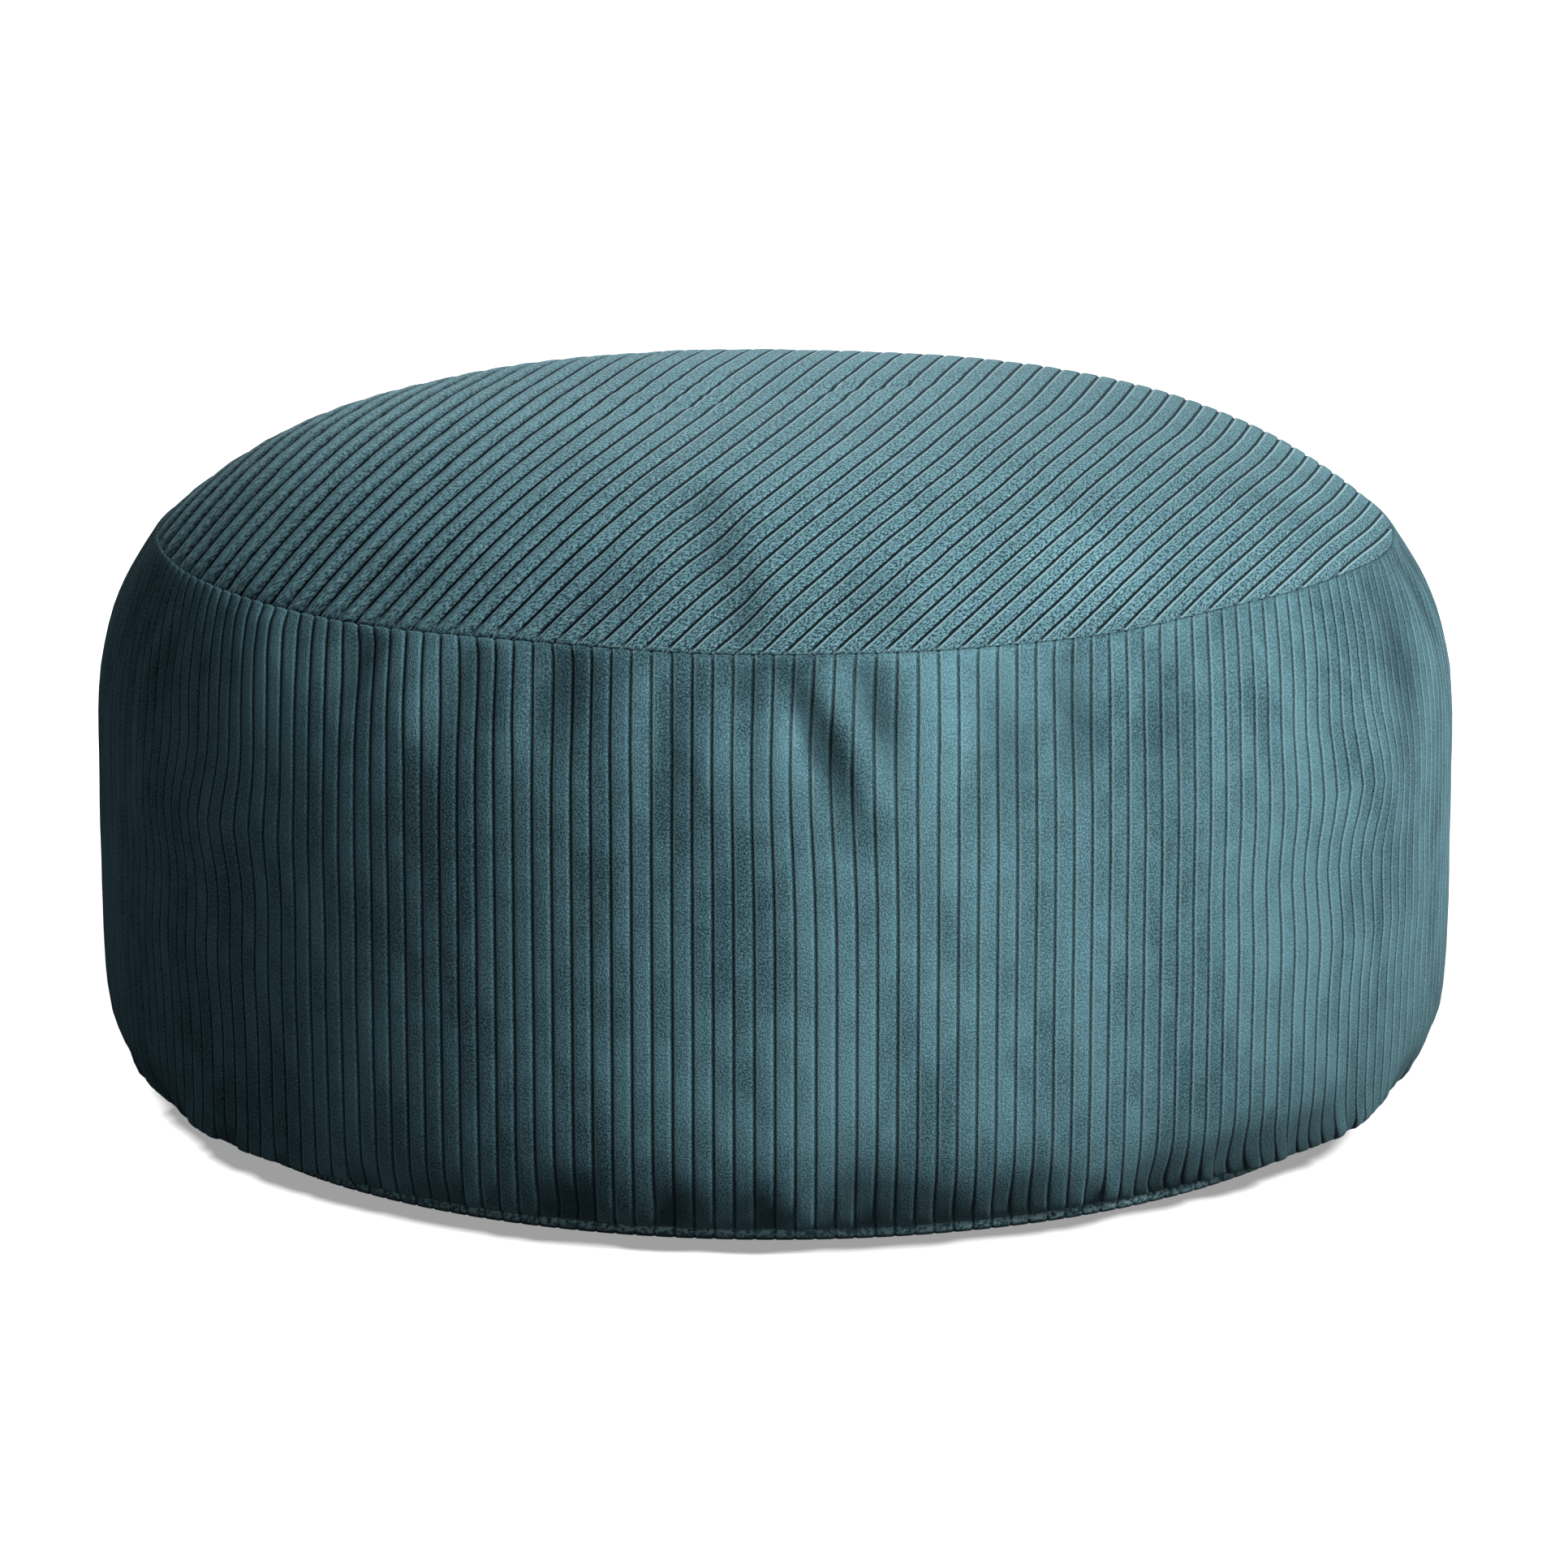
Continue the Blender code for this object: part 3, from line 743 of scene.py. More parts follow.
# Over how much height the side turns into the seam, how much of it gets painted shade, and
# the painted highlight on the lip beside the crease.
SEAM_TURN = 0.0030
SEAM_DARK = 0.0016
SEAM_LEAST_DARK = 0.1
LIP_PAINTED_HIGHLIGHT = 0.6
LIP_REACH = 0.0045
# On the right, and low on the side, the cloth gets a little painted shade.
RIGHT_PAINTED_SHADE = 0.30
RIGHT_PAINTED_SHADE_START = 18
RIGHT_PAINTED_SHADE_REACH = 30
RIGHT_PAINTED_SHADE_FADE = 70
LOW_PAINTED_SHADE = 0.30
LOW_PAINTED_SHADE_START = 0.120
TOP_RIGHT_PAINTED_SHADE = 0.38
TOP_RIGHT_PAINTED_SHADE_START = 0.02
TOP_RIGHT_PAINTED_SHADE_REACH = 0.16


class Shell:
    """Points and faces that are gathered into one mesh, with POINT_VALUES on each point."""

    def __init__(self):
        self.points, self.faces = [], []
        self.values = {name: [] for name in POINT_VALUES}
        self.count = 0

    def add(self, points, *values):
        """Adds points of any shape and returns their numbers, in that shape."""
        shape = points.shape[:-1]
        self.points.append(points.reshape(-1, 3))
        given = (*values, *[0.0] * (len(POINT_VALUES) - len(values)))
        for name, value in zip(POINT_VALUES, given):
            self.values[name].append(np.broadcast_to(value, shape).ravel())
        numbers = np.arange(self.count, self.count + self.points[-1].shape[0])
        self.count += len(numbers)
        return numbers.reshape(shape)

    def quads(self, numbers, closed):
        self.faces.extend(grid_faces(numbers, closed))

    def fan(self, ring, middle):
        self.faces.extend(fan_faces(ring, middle, upward=True))

    def zip_rings(self, outer, inner):
        """Triangles between two rings of point numbers that differ in length."""
        points = np.concatenate(self.points)
        rings = []
        for ring in (outer, inner):
            turn = angle_of(points[ring, 0], points[ring, 1])
            order = np.argsort(turn)
            rings.append(([int(ring[i]) for i in order], turn[order]))
        (first, first_turn), (second, second_turn) = rings
        i = j = 0
        while i < len(first) or j < len(second):
            next_first = first_turn[(i + 1) % len(first)] + 360 * ((i + 1) // len(first))
            next_second = second_turn[(j + 1) % len(second)] + 360 * ((j + 1) // len(second))
            a, b = first[i % len(first)], second[j % len(second)]
            if j >= len(second) or (i < len(first) and next_first <= next_second):
                self.faces.append([a, first[(i + 1) % len(first)], b])
                i += 1
            else:
                self.faces.append([b, a, second[(j + 1) % len(second)]])
                j += 1

    def make(self, name, material):
        """One closed, smooth object, with its points' values kept as attributes."""
        data = bpy.data.meshes.new(name)
        data.from_pydata(np.concatenate(self.points).tolist(), [], self.faces)
        for layer, values in self.values.items():
            attribute = data.attributes.new(layer, "FLOAT", "POINT")
            attribute.data.foreach_set("value", np.concatenate(values).astype(np.float32))
        data.materials.append(material)
        piece = bpy.data.objects.new(name, data)
        bpy.context.scene.collection.objects.link(piece)
        bpy.context.view_layer.objects.active = piece
        bpy.ops.object.mode_set(mode="EDIT")
        bpy.ops.mesh.select_all(action="SELECT")
        bpy.ops.mesh.normals_make_consistent(inside=False)
        bpy.ops.object.mode_set(mode="OBJECT")
        data.shade_smooth()
        return piece


INNER_RADII = (0.262, 0.240, 0.205, 0.160, 0.105, 0.050)
INNER_COLUMNS = 228
BACKING_DROP = CLOTH + 0.0006


def close_under_crown(shell, edge, drop):
    """Closes a ring of point numbers with smooth rings that follow the crown, inward."""
    rings = shell.add(crown_rings(INNER_RADII, INNER_COLUMNS, drop))
    shell.zip_rings(edge, rings[0])
    shell.quads(rings, closed=True)
    middle = shell.add(np.array([[0.0, 0.0, TOP_HEIGHT - drop]]))[0]
    shell.fan(rings[-1], middle)


def side_band(material):
    """The filled drum: the band's wales and folds outside, closed over and under the filling."""
    shell = Shell()
    rings = shell.add(*side_band_points())
    shell.quads(rings, closed=True)
    close_under_crown(shell, rings[-1], BACKING_DROP)
    under = shell.add(np.array([[0.0, 0.0, CLOTH + 0.0006]]))[0]
    shell.fan(rings[0][::-1], under)
    return shell.make("side_band", material)


# The top panel's fine mesh
TIP_LINES = 6
TIP_CROWDING = 60.0
TIP_CLEARANCE = 0.0002
CHORD_SPACING = 0.0034
CHORD_CROWDING = 0.6
# Near the seam the wales are a little pressed, and the panel turns down into the crease.
RIM_RELIEF = 0.7
RIM_BAND = 0.0020
RIM_ROUND = 0.0024
# How far from the rim the crease's painted shade reaches, and how much farther where the crease is deeper.
RIM_DARK = 0.0022
RIM_DARK_SPREAD = 2.5
MIDDLE_RADIUS = 0.030


def points_on_wales(places, share):
    """Points along the bowed wales at these places, from rim to rim as share runs from -1 to 1."""
    half = np.arccos((places - BOW_MIDDLE) / BOW_REACH)
    start = SEAM_RADIUS * np.sin(BOW_DIRECTION - half - TOP_WALE_ANGLE)
    end = SEAM_RADIUS * np.sin(BOW_DIRECTION + half - TOP_WALE_ANGLE)
    along = (start + end) / 2 + (end - start) / 2 * share
    high = np.sqrt(np.maximum(0.0, SEAM_RADIUS**2 - along**2))
    low = -high
    for _ in range(HALVINGS):
        across = (low + high) / 2
        short = across + bow(*turned(across, along)) < places
        low, high = np.where(short, across, low), np.where(short, high, across)
    return turned((low + high) / 2, along)


def top_points(places, x, y):
    """The top panel's face with its wales, dents and the cover's moves."""
    radius, angle = np.hypot(x, y), angle_of(x, y)
    moves = read_grid(TOP_MOVES, (1 - radius / SEAM_RADIUS) * COVER_TOP_RINGS,
                      angle / 360 * COVER_COLUMNS)
    moves = moves * smooth_step(radius / MIDDLE_RADIUS)[..., None]
    from_rim = SEAM_RADIUS - radius
    relief = RIM_RELIEF + (1 - RIM_RELIEF) * smooth_step(from_rim / RIM_BAND)
    place = places / TOP_PITCH
    slope = crown_slope(radius)
    length = np.hypot(1, slope)
    plump = smooth_step((PLUMP_START - x) / PLUMP_REACH)
    form = WaleForm(*(flat + (full - flat) * plump for flat, full in zip(FLAT_WALE, PLUMP_WALE)))
    depth = wale_depth(place, form) * relief
    side_place = angle / SIDE_PITCH + SIDE_WALES / 2
    crease = crease_depth(side_place, angle)
    drop = depth / length + crease * np.exp(-from_rim / RIM_ROUND)
    height = crown_height(angle, radius) - drop + moves[..., 2]
    points = polar(radius + slope / length * depth + moves[..., 0], angle + moves[..., 1], height)
    # Painted shade in the crease at the rim, wider where the crease is deeper.
    dark_reach = RIM_DARK * (1 + RIM_DARK_SPREAD * crease / CREASE_MOST)
    creased = seam_dark(angle) * bell(from_rim / dark_reach, 0)
    # Painted shade on the right of the top.
    broad_painted_shade = TOP_RIGHT_PAINTED_SHADE * smooth_step((x - TOP_RIGHT_PAINTED_SHADE_START) / TOP_RIGHT_PAINTED_SHADE_REACH)
    # Painted shade on the plump wales' flanks turned from the light, and a painted highlight on their
    # crests.
    flank = FLANK_PAINTED_SHADE * plump * smooth_step((place % 1 - FLANK_START) / FLANK_REACH)
    # Painted shade in the dips of the top, painted highlight on its rises.
    dented = dent_depth(angle, radius, TOP_DENTS) / DEEPEST_DENT
    shade = np.clip(dented + creased + broad_painted_shade + flank - PLUMP_PAINTED_HIGHLIGHT * plump, -1, 1)
    along = math.sin(TOP_WALE_ANGLE) * y + math.cos(TOP_WALE_ANGLE) * x
    along = along * (TUFT_SHARE + TUFT_SHARE_RIM * np.abs(along / SEAM_RADIUS) ** 3)
    # Wider, darker grooves between plump wales: painted shade.
    cut = TOP_GROOVE_SHARE + (PLUMP_GROOVE_SHARE - TOP_GROOVE_SHARE) * plump
    return points, place, along, cut, shade, 0.0, 1.0, 1 - (1 - PLUMP_LIT_SHARE) * plump


def wale_places(middle, reach):
    """Where the grid's lines lie across a panel: eight to a wale, and a few more at each tip."""
    wales = np.arange(math.floor((middle - reach) / TOP_PITCH), math.ceil((middle + reach) / TOP_PITCH))
    lines = ((wales[:, None] + np.array(WALE_LINES)) * TOP_PITCH).ravel()
    tips = reach * (1 - (np.arange(1, TIP_LINES + 1) / TIP_CROWDING) ** 2)
    inner = lines[np.abs(lines - middle) < tips.min() - TIP_CLEARANCE]
    return np.sort(np.concatenate((middle - tips, inner, middle + tips)))[:, None]


def top_cover(material):
    """The crowned panel: a grid of lines that run with the wales, crowded near the seam."""
    shell = Shell()
    places = wale_places(BOW_MIDDLE, BOW_REACH)
    share = np.linspace(-1, 1, int(2 * SEAM_RADIUS / CHORD_SPACING))[None, :]
    eased = (1 - CHORD_CROWDING) * share + CHORD_CROWDING * np.sin(share * np.pi / 2)
    grid = shell.add(*top_points(places, *points_on_wales(places, eased)))
    shell.quads(grid, closed=False)
    close_under_crown(shell, grid_edge(grid), CLOTH)
    return shell.make("top_cover", material)


BASE_RELIEF = 0.5
BASE_RIM_POWER = 16
BASE_LINE_SPACING = 0.0060
BASE_FLOOR_GAP = 0.0003


def base_cover(material):
    """The flat round panel underneath, with the same wales pressed flat."""
    shell = Shell()
    radius = (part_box("base_panel")[1].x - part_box("base_panel")[0].x) / 2
    places = wale_places(0.0, radius)
    share = np.linspace(-1, 1, int(2 * radius / BASE_LINE_SPACING))[None, :]
    reach = np.sqrt(radius**2 - places**2) * share
    place = places / TOP_PITCH
    rim = np.hypot(places, reach) / radius
    relief = BASE_RELIEF * (1 - rim**BASE_RIM_POWER)
    height = BASE_FLOOR_GAP + wale_depth(place, SIDE_WALE) * relief
    grid = shell.add(np.stack((places + 0 * reach, reach, height), -1), place, reach, BASE_RELIEF)
    shell.quads(grid, closed=False)
    angle = np.arange(INNER_COLUMNS) * 360 / INNER_COLUMNS
    top = shell.add(polar(radius, angle, np.full_like(angle, CLOTH)))
    shell.zip_rings(top, grid_edge(grid))
    middle = shell.add(np.array([[0.0, 0.0, CLOTH]]))[0]
    shell.fan(top, middle)
    return shell.make("base_cover", material)


# The cloth's finish
CORD_LIGHT = (0.196, 0.420, 0.490, 1.0)
CORD_DARK = (0.028, 0.076, 0.097, 1.0)
# Painted shade colour.
CORD_PAINTED_SHADE = (0.007, 0.020, 0.026, 1.0)
CORD_SPECK = (0.400, 0.640, 0.700, 1.0)
# Painted highlight colour, beside the grooves and on the base edge.
CORD_HIGHLIGHT = (0.520, 0.820, 0.880, 1.0)
# The grooves' near black: partly the bare ground, partly painted shade.
GROOVE_COLOUR = (0.003, 0.008, 0.011, 1.0)
CORD_ROUGHNESS = 0.92
CORD_SHEEN = 0.22
CORD_SHEEN_ROUGHNESS = 0.45
CORD_SHEEN_TINT = (0.50, 0.85, 0.96, 1.0)
CORD_SPECULAR = 0.12
DRIFT_SCALE = 7.0
CLOUD_SCALE = 21.0
# Drifts and clouds are longer up the side than across it.
UPRIGHT_STRETCH = (1.0, 1.0, 0.4)
PATCH_SCALE = 52.0
PILE_SCALE = 1150.0
SPECK_SCALE = 900.0
TUFT_SCALE = 520.0
FIBRE_SCALE = 2300.0
# How far the drifts, the clouds, the patches on each wale and the pile swing the tone.
DRIFT_SHARE = 0.22
CLOUD_SHARE = 0.32
PATCH_SHARE = 0.24
PILE_SHARE = 0.56
PILE_SHARE_PLUSH = 1.30
# One pitch across the wales, as the pile's noise reads it.
PILE_PITCH = 0.0090
# A groove is dark to its core (partly painted shade) and clears at its edge, in pitches from its middle.
GROOVE_CORE = 0.058
GROOVE_EDGE = 0.108
RAGGED_SCALE = 420.0
GROOVE_RAGGEDNESS = 0.04
# The painted highlight beside a groove, in pitches: where it begins and ends.
LIT_EDGE = (0.080, 0.105, 0.185, 0.235)
LIT_EDGE_SHARE = 0.80
SPECK_SHARE = 0.26
SPECK_SHARE_PLUSH = 0.50
# How far the shade value mixes towards painted shade and painted highlight.
PAINTED_SHADE_SHARE = 0.70
PAINTED_HIGHLIGHT_SHARE = 0.50
# How far the base edge's tufts mix towards the highlight colour: partly lighter stitching, partly painted
# highlight.
BASE_EDGE_SHARE = 0.95


def new_node(tree, kind, place, **values):
    """A node with its properties set, and its inputs where a value's name is an input's."""
    node = tree.nodes.new(kind)
    node.location = place
    for name, value in values.items():
        label = name.replace("_", " ")
        if label in node.inputs:
            node.inputs[label].default_value = value
        else:
            setattr(node, name, value)
    return node


def math_node(tree, operation, place, first, second, clamp=False):
    node = new_node(tree, "ShaderNodeMath", place, operation=operation, use_clamp=clamp)
    for socket, value in zip(node.inputs, (first, second)):
        if isinstance(value, (int, float)):
            socket.default_value = value
        else:
            tree.links.new(value, socket)
    return node.outputs[0]


def mix_colour(tree, place, share, first, second, blend="MIX"):
    node = new_node(tree, "ShaderNodeMix", place, data_type="RGBA", blend_type=blend)
    for socket, value in zip((node.inputs[0], node.inputs[6], node.inputs[7]), (share, first, second)):
        if isinstance(value, (int, float, tuple)):
            socket.default_value = value
        else:
            tree.links.new(value, socket)
    return node.outputs[2]


def noise(tree, place, vector, scale, detail, roughness=0.5, distortion=0.0):
    node = new_node(tree, "ShaderNodeTexNoise", place, Scale=scale, Detail=detail,
                    Roughness=roughness, Distortion=distortion)
    tree.links.new(vector, node.inputs["Vector"])
    return node.outputs["Fac"]


def spread(tree, place, value, low, high):
    """Stretches the range low to high over 0 to 1, smoothly."""
    node = new_node(tree, "ShaderNodeMapRange", place, interpolation_type="SMOOTHSTEP")
    tree.links.new(value, node.inputs["Value"])
    node.inputs["From Min"].default_value = low
    node.inputs["From Max"].default_value = high
    return node.outputs["Result"]


def corduroy(name):
    """Wide-wale corduroy: clouds where the nap lies one way or the other, pile and fibres, and the painted
    shade and painted highlights that the points carry.
    """
    material = bpy.data.materials.new(name)
    material.use_nodes = True
    tree = material.node_tree
    shader = tree.nodes["Principled BSDF"]
    shader.inputs["Roughness"].default_value = CORD_ROUGHNESS
    shader.inputs["Sheen Weight"].default_value = CORD_SHEEN
    shader.inputs["Sheen Roughness"].default_value = CORD_SHEEN_ROUGHNESS
    shader.inputs["Sheen Tint"].default_value = CORD_SHEEN_TINT
    shader.inputs["Specular IOR Level"].default_value = CORD_SPECULAR

    where = new_node(tree, "ShaderNodeTexCoord", (-2400, 0)).outputs["Object"]
    across, along, cut, shade, edge, plush, lit_share = (
        new_node(tree, "ShaderNodeAttribute", (-2400, -200 * (i + 1)), attribute_name=layer).outputs["Fac"]
        for i, layer in enumerate(POINT_VALUES)
    )

    # The pile leans over the grooves, so that their edges are a little ragged.
    ragged = math_node(tree, "SUBTRACT", (-2000, 500),
                       noise(tree, (-2200, 500), where, RAGGED_SCALE, 2), 0.5)
    leaning = math_node(tree, "MULTIPLY", (-1850, 500), ragged, GROOVE_RAGGEDNESS)
    place = math_node(tree, "FRACT", (-1550, 500),
                      math_node(tree, "ADD", (-1700, 500), across, leaning), 0.0)
    off_middle = math_node(tree, "ABSOLUTE", (-1250, 500),
                           math_node(tree, "SUBTRACT", (-1400, 500), place, 0.5), 0.0)
    groove = math_node(tree, "MULTIPLY", (-900, 500),
                       spread(tree, (-1100, 500), off_middle, 0.5 - GROOVE_EDGE, 0.5 - GROOVE_CORE), cut)
    # Painted highlight beside each groove.
    lit = math_node(tree, "SUBTRACT", (-900, 800), spread(tree, (-1100, 800), place, *LIT_EDGE[:2]),
                    spread(tree, (-1100, 1000), place, *LIT_EDGE[2:]))

    # Each wale reads the patches at a small offset of its own, so they break from wale to wale.
    strand = new_node(tree, "ShaderNodeTexNoise", (-1600, -300), noise_dimensions="1D", Scale=1.0,
                      Detail=0.0)
    wale = math_node(tree, "FLOOR", (-1900, -300), across, 0.0)
    tree.links.new(math_node(tree, "MULTIPLY", (-1750, -300), wale, 7.31), strand.inputs["W"])
    offset = new_node(tree, "ShaderNodeVectorMath", (-1400, -200), operation="MULTIPLY_ADD")
    tree.links.new(strand.outputs["Color"], offset.inputs[0])
    offset.inputs[1].default_value = (0.030, 0.030, 0.060)
    tree.links.new(where, offset.inputs[2])

    upright = new_node(tree, "ShaderNodeVectorMath", (-1400, 100), operation="MULTIPLY")
    tree.links.new(where, upright.inputs[0])
    upright.inputs[1].default_value = UPRIGHT_STRETCH
    drifts = spread(tree, (-1000, 650), noise(tree, (-1200, 650), upright.outputs[0], DRIFT_SCALE, 2, 0.5),
                    0.36, 0.62)
    clouds = spread(tree, (-1000, 300),
                    noise(tree, (-1200, 300), upright.outputs[0], CLOUD_SCALE, 3, 0.55, 0.6), 0.36, 0.64)
    patches = spread(tree, (-1000, 0),
                     noise(tree, (-1200, 0), offset.outputs[0], PATCH_SCALE, 2, 0.5), 0.34, 0.66)
    nap = new_node(tree, "ShaderNodeCombineXYZ", (-1400, -600))
    tree.links.new(math_node(tree, "MULTIPLY", (-1550, -600), across, PILE_PITCH), nap.inputs["X"])
    tree.links.new(along, nap.inputs["Y"])
    lie = nap.outputs["Vector"]
    pile = spread(tree, (-1000, -300), noise(tree, (-1200, -300), lie, PILE_SCALE, 2, 0.6), 0.40, 0.60)
    specks = spread(tree, (-1000, -900), noise(tree, (-1200, -900), lie, SPECK_SCALE, 2, 0.6), 0.52, 0.66)
    tufts = spread(tree, (-1000, -1200), noise(tree, (-1200, -1200), where, TUFT_SCALE, 2, 0.6),
                   0.43, 0.57)
    fibres = noise(tree, (-1200, -600), where, FIBRE_SCALE, 2, 0.6)

    pile_share = math_node(tree, "ADD", (-1000, -450),
                           math_node(tree, "MULTIPLY", (-1150, -450), plush, PILE_SHARE_PLUSH), PILE_SHARE)
    tone = 0.5
    parts = ((drifts, DRIFT_SHARE), (clouds, CLOUD_SHARE), (patches, PATCH_SHARE), (pile, pile_share))
    for step, (part, share) in enumerate(parts):
        centred = math_node(tree, "SUBTRACT", (-850, 350 - 150 * step), part, 0.5)
        swing = math_node(tree, "MULTIPLY", (-750, 350 - 150 * step), centred, share)
        tone = math_node(tree, "ADD", (-650 + 100 * step, 500), swing, tone)
    colour = mix_colour(tree, (-300, 200), tone, CORD_DARK, CORD_LIGHT)
    speck_share = math_node(tree, "ADD", (-600, -900),
                            math_node(tree, "MULTIPLY", (-750, -900), plush, SPECK_SHARE_PLUSH), SPECK_SHARE)
    colour = mix_colour(tree, (-150, 200), math_node(tree, "MULTIPLY", (-300, -100), specks, speck_share),
                        colour, CORD_SPECK)
    # How strong the painted highlight beside the grooves is here.
    lit = math_node(tree, "MULTIPLY", (-450, 800), lit, lit_share)
    colour = mix_colour(tree, (0, 200), math_node(tree, "MULTIPLY", (-150, -100), lit, LIT_EDGE_SHARE),
                        colour, CORD_HIGHLIGHT)
    # The base edge: partly lighter stitching, partly painted highlight where the rolled edge catches light.
    edge_highlight = math_node(tree, "MULTIPLY", (0, -250), math_node(tree, "MULTIPLY", (-150, -250), edge, tufts),
                     BASE_EDGE_SHARE)
    colour = mix_colour(tree, (150, 200), edge_highlight, colour, CORD_HIGHLIGHT)
    # Painted shade where the shade value is positive, painted highlight where it is negative.
    colour = mix_colour(tree, (300, 200), math_node(tree, "MULTIPLY", (150, -100), shade, PAINTED_SHADE_SHARE),
                        colour, CORD_PAINTED_SHADE)
    colour = mix_colour(tree, (375, 200), math_node(tree, "MULTIPLY", (225, -100), shade, -PAINTED_HIGHLIGHT_SHARE),
                        colour, CORD_LIGHT)
    # The grooves: partly the bare ground, partly painted shade.
    colour = mix_colour(tree, (450, 200), groove, colour, GROOVE_COLOUR)
    tree.links.new(colour, shader.inputs["Base Color"])

    relief = math_node(tree, "ADD", (-500, -400), math_node(tree, "MULTIPLY", (-650, -400), pile, 0.7),
                       math_node(tree, "MULTIPLY", (-650, -550), fibres, 0.3))
    bump = new_node(tree, "ShaderNodeBump", (-250, -400), Strength=0.55, Distance=0.0005)
    tree.links.new(relief, bump.inputs["Height"])
    tree.links.new(bump.outputs["Normal"], shader.inputs["Normal"])
    return material


# The stage
FLOOR_SIZE = 30.0
FLOOR_WHITE = (0.20, 0.20, 0.20, 1.0)
FLOOR_BOUNCE = (0.010, 0.010, 0.011, 1.0)
FLOOR_GLOW = 0.34
# The cloth's lamps and the floor's. A sun's size is its spread in degrees.
CLOTH_LAMPS = {
    "key": Lamp("AREA", 51, 30, 2.1, 39.0, 0.9),
    "behind": Lamp("AREA", 186, 14, 2.1, 14.0, 0.9),
}
# A weak low lamp reaches the edge under the side's belly.
SIDE_LAMPS = {"low": Lamp("AREA", 24, 3, 2.1, 2.0, 0.4)}
TOP_LAMPS = {
    "over": Lamp("AREA", 112, 30, 1.6, 10.5, 0.7),
    "left": Lamp("AREA", -105, 32, 1.6, 3.0, 0.7),
}
FLOOR_LAMPS = {
    "left": Lamp("SUN", -50, 58, 3.0, 13.0, 14),
    "right": Lamp("SUN", 60, 45, 3.0, 15.5, 14),
}
FILL_LIGHT = 0.065

CAMERA_RISE = math.radians(13.52)
CAMERA_DISTANCE = 2.764
CAMERA_AIM = Vector((0.0038, 0.0, 0.1301))
CAMERA_LENS = 142.17


def shown_or(tree, seen, unseen, output):
    """Joins two shaders: one for what the camera sees, one for the light that bounces."""
    path = new_node(tree, "ShaderNodeLightPath", (-600, 300))
    mix = new_node(tree, "ShaderNodeMixShader", (0, 0))
    tree.links.new(path.outputs["Is Camera Ray"], mix.inputs[0])
    tree.links.new(unseen, mix.inputs[1])
    tree.links.new(seen, mix.inputs[2])
    tree.links.new(mix.outputs[0], output)


def make_floor():
    half = FLOOR_SIZE / 2
    corners = [(-half, -half, 0), (half, -half, 0), (half, half, 0), (-half, half, 0)]
    data = bpy.data.meshes.new("floor")
    data.from_pydata(corners, [], [(0, 1, 2, 3)])
    floor = bpy.data.objects.new("floor", data)
    bpy.context.scene.collection.objects.link(floor)
    material = bpy.data.materials.new("floor")
    material.use_nodes = True
    tree = material.node_tree
    tree.nodes.remove(tree.nodes["Principled BSDF"])
    seen = new_node(tree, "ShaderNodeAddShader", (-300, 100))
    glow = new_node(tree, "ShaderNodeEmission", (-500, 200), Strength=FLOOR_GLOW)
    matt = new_node(tree, "ShaderNodeBsdfDiffuse", (-500, 0), Color=FLOOR_WHITE)
    tree.links.new(glow.outputs[0], seen.inputs[0])
    tree.links.new(matt.outputs[0], seen.inputs[1])
    unseen = new_node(tree, "ShaderNodeBsdfDiffuse", (-300, -100), Color=FLOOR_BOUNCE)
    shown_or(tree, seen.outputs[0], unseen.outputs[0], tree.nodes["Material Output"].inputs["Surface"])
    data.materials.append(material)
    return floor


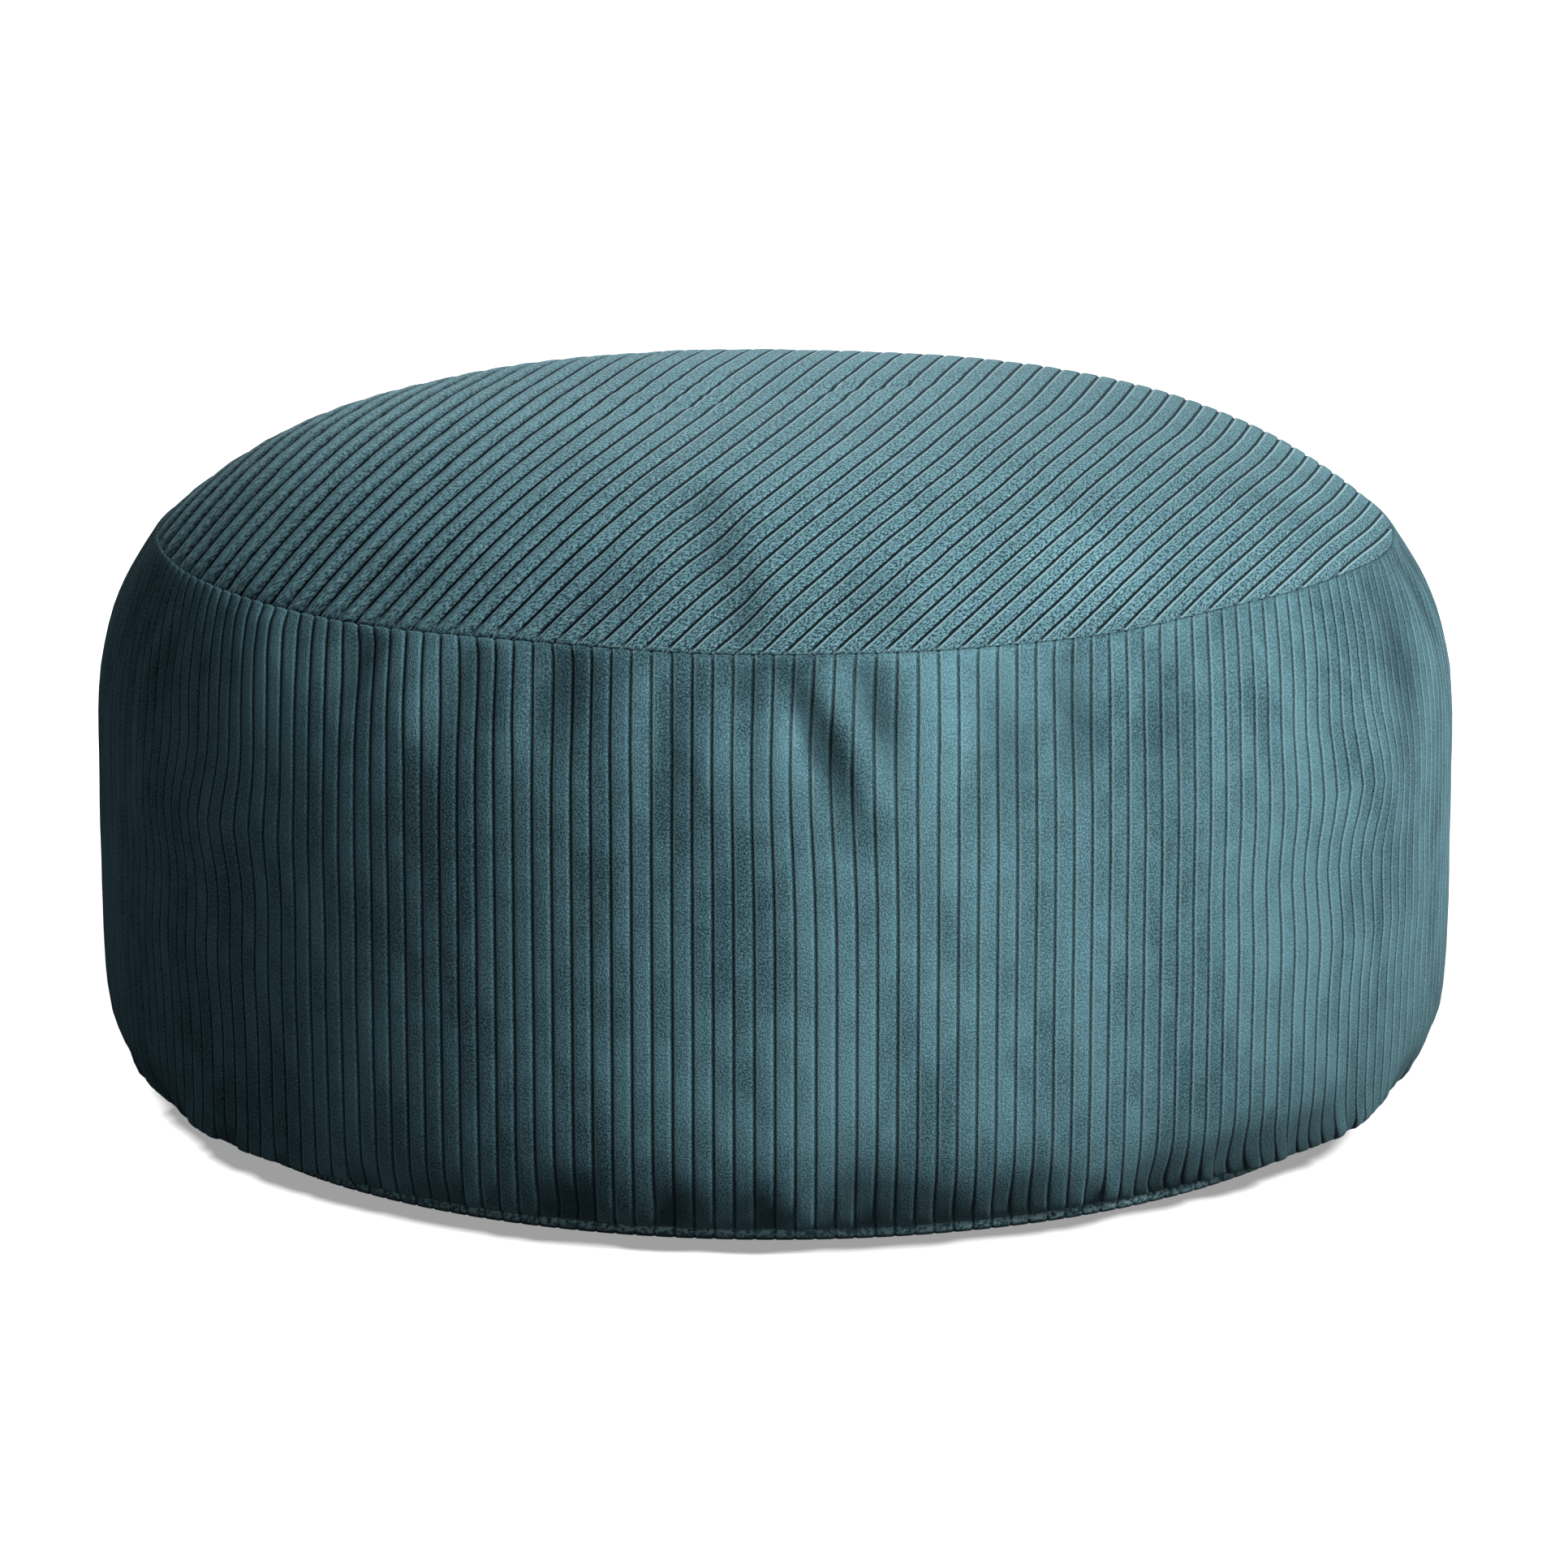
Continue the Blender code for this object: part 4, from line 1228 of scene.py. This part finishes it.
def make_world():
    world = bpy.data.worlds.new("studio")
    world.use_nodes = True
    tree = world.node_tree
    unseen = tree.nodes["Background"]
    unseen.inputs["Color"].default_value = (0.86, 0.94, 1.0, 1.0)
    unseen.inputs["Strength"].default_value = FILL_LIGHT
    seen = new_node(tree, "ShaderNodeBackground", (-300, 200), Color=(1, 1, 1, 1), Strength=1.0)
    shown_or(tree, seen.outputs[0], unseen.outputs[0], tree.nodes["World Output"].inputs["Surface"])
    bpy.context.scene.world = world


def make_lamp(name, lamp, objects):
    """A light that looks at the bag's middle and reaches only these objects."""
    data = bpy.data.lights.new(name, lamp.kind)
    data.energy = lamp.energy
    if lamp.kind == "SUN":
        data.angle = math.radians(lamp.size)
    else:
        data.size = lamp.size
    light = bpy.data.objects.new(name, data)
    level, up = math.cos(math.radians(lamp.rise)), math.sin(math.radians(lamp.rise))
    turn = math.radians(lamp.turn)
    back = Vector((math.sin(turn) * level, -math.cos(turn) * level, up))
    light.location = Vector((0, 0, TOP_HEIGHT / 2)) + back * lamp.distance
    light.rotation_mode = "QUATERNION"
    light.rotation_quaternion = back.to_track_quat("Z", "Y")
    bpy.context.scene.collection.objects.link(light)
    receivers = bpy.data.collections.new(f"{name}_receivers")
    for thing in objects:
        receivers.objects.link(thing)
    light.light_linking.receiver_collection = receivers


def make_camera():
    data = bpy.data.cameras.new("camera")
    data.lens = CAMERA_LENS
    data.sensor_width = 36
    camera = bpy.data.objects.new("camera", data)
    back = Vector((0, -math.cos(CAMERA_RISE), math.sin(CAMERA_RISE)))
    camera.location = CAMERA_AIM + back * CAMERA_DISTANCE
    camera.rotation_mode = "QUATERNION"
    camera.rotation_quaternion = back.to_track_quat("Z", "Y")
    bpy.context.scene.collection.objects.link(camera)
    bpy.context.scene.camera = camera


make_camera()
cord = corduroy("corduroy")
side = side_band(cord)
top = top_cover(cord)
base = base_cover(cord)
for piece, node in ((side, "bag_body"), (top, "top_panel"), (base, "base_panel")):
    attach(piece, "root")
    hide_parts(node)

floor = make_floor()
make_world()
for lamps, receivers in (
    (CLOTH_LAMPS, (side, top, base)),
    (SIDE_LAMPS, (side,)),
    (TOP_LAMPS, (top,)),
    (FLOOR_LAMPS, (floor,)),
):
    for name, lamp in lamps.items():
        make_lamp(name, lamp, receivers)
bpy.context.scene.view_settings.view_transform = "Standard"
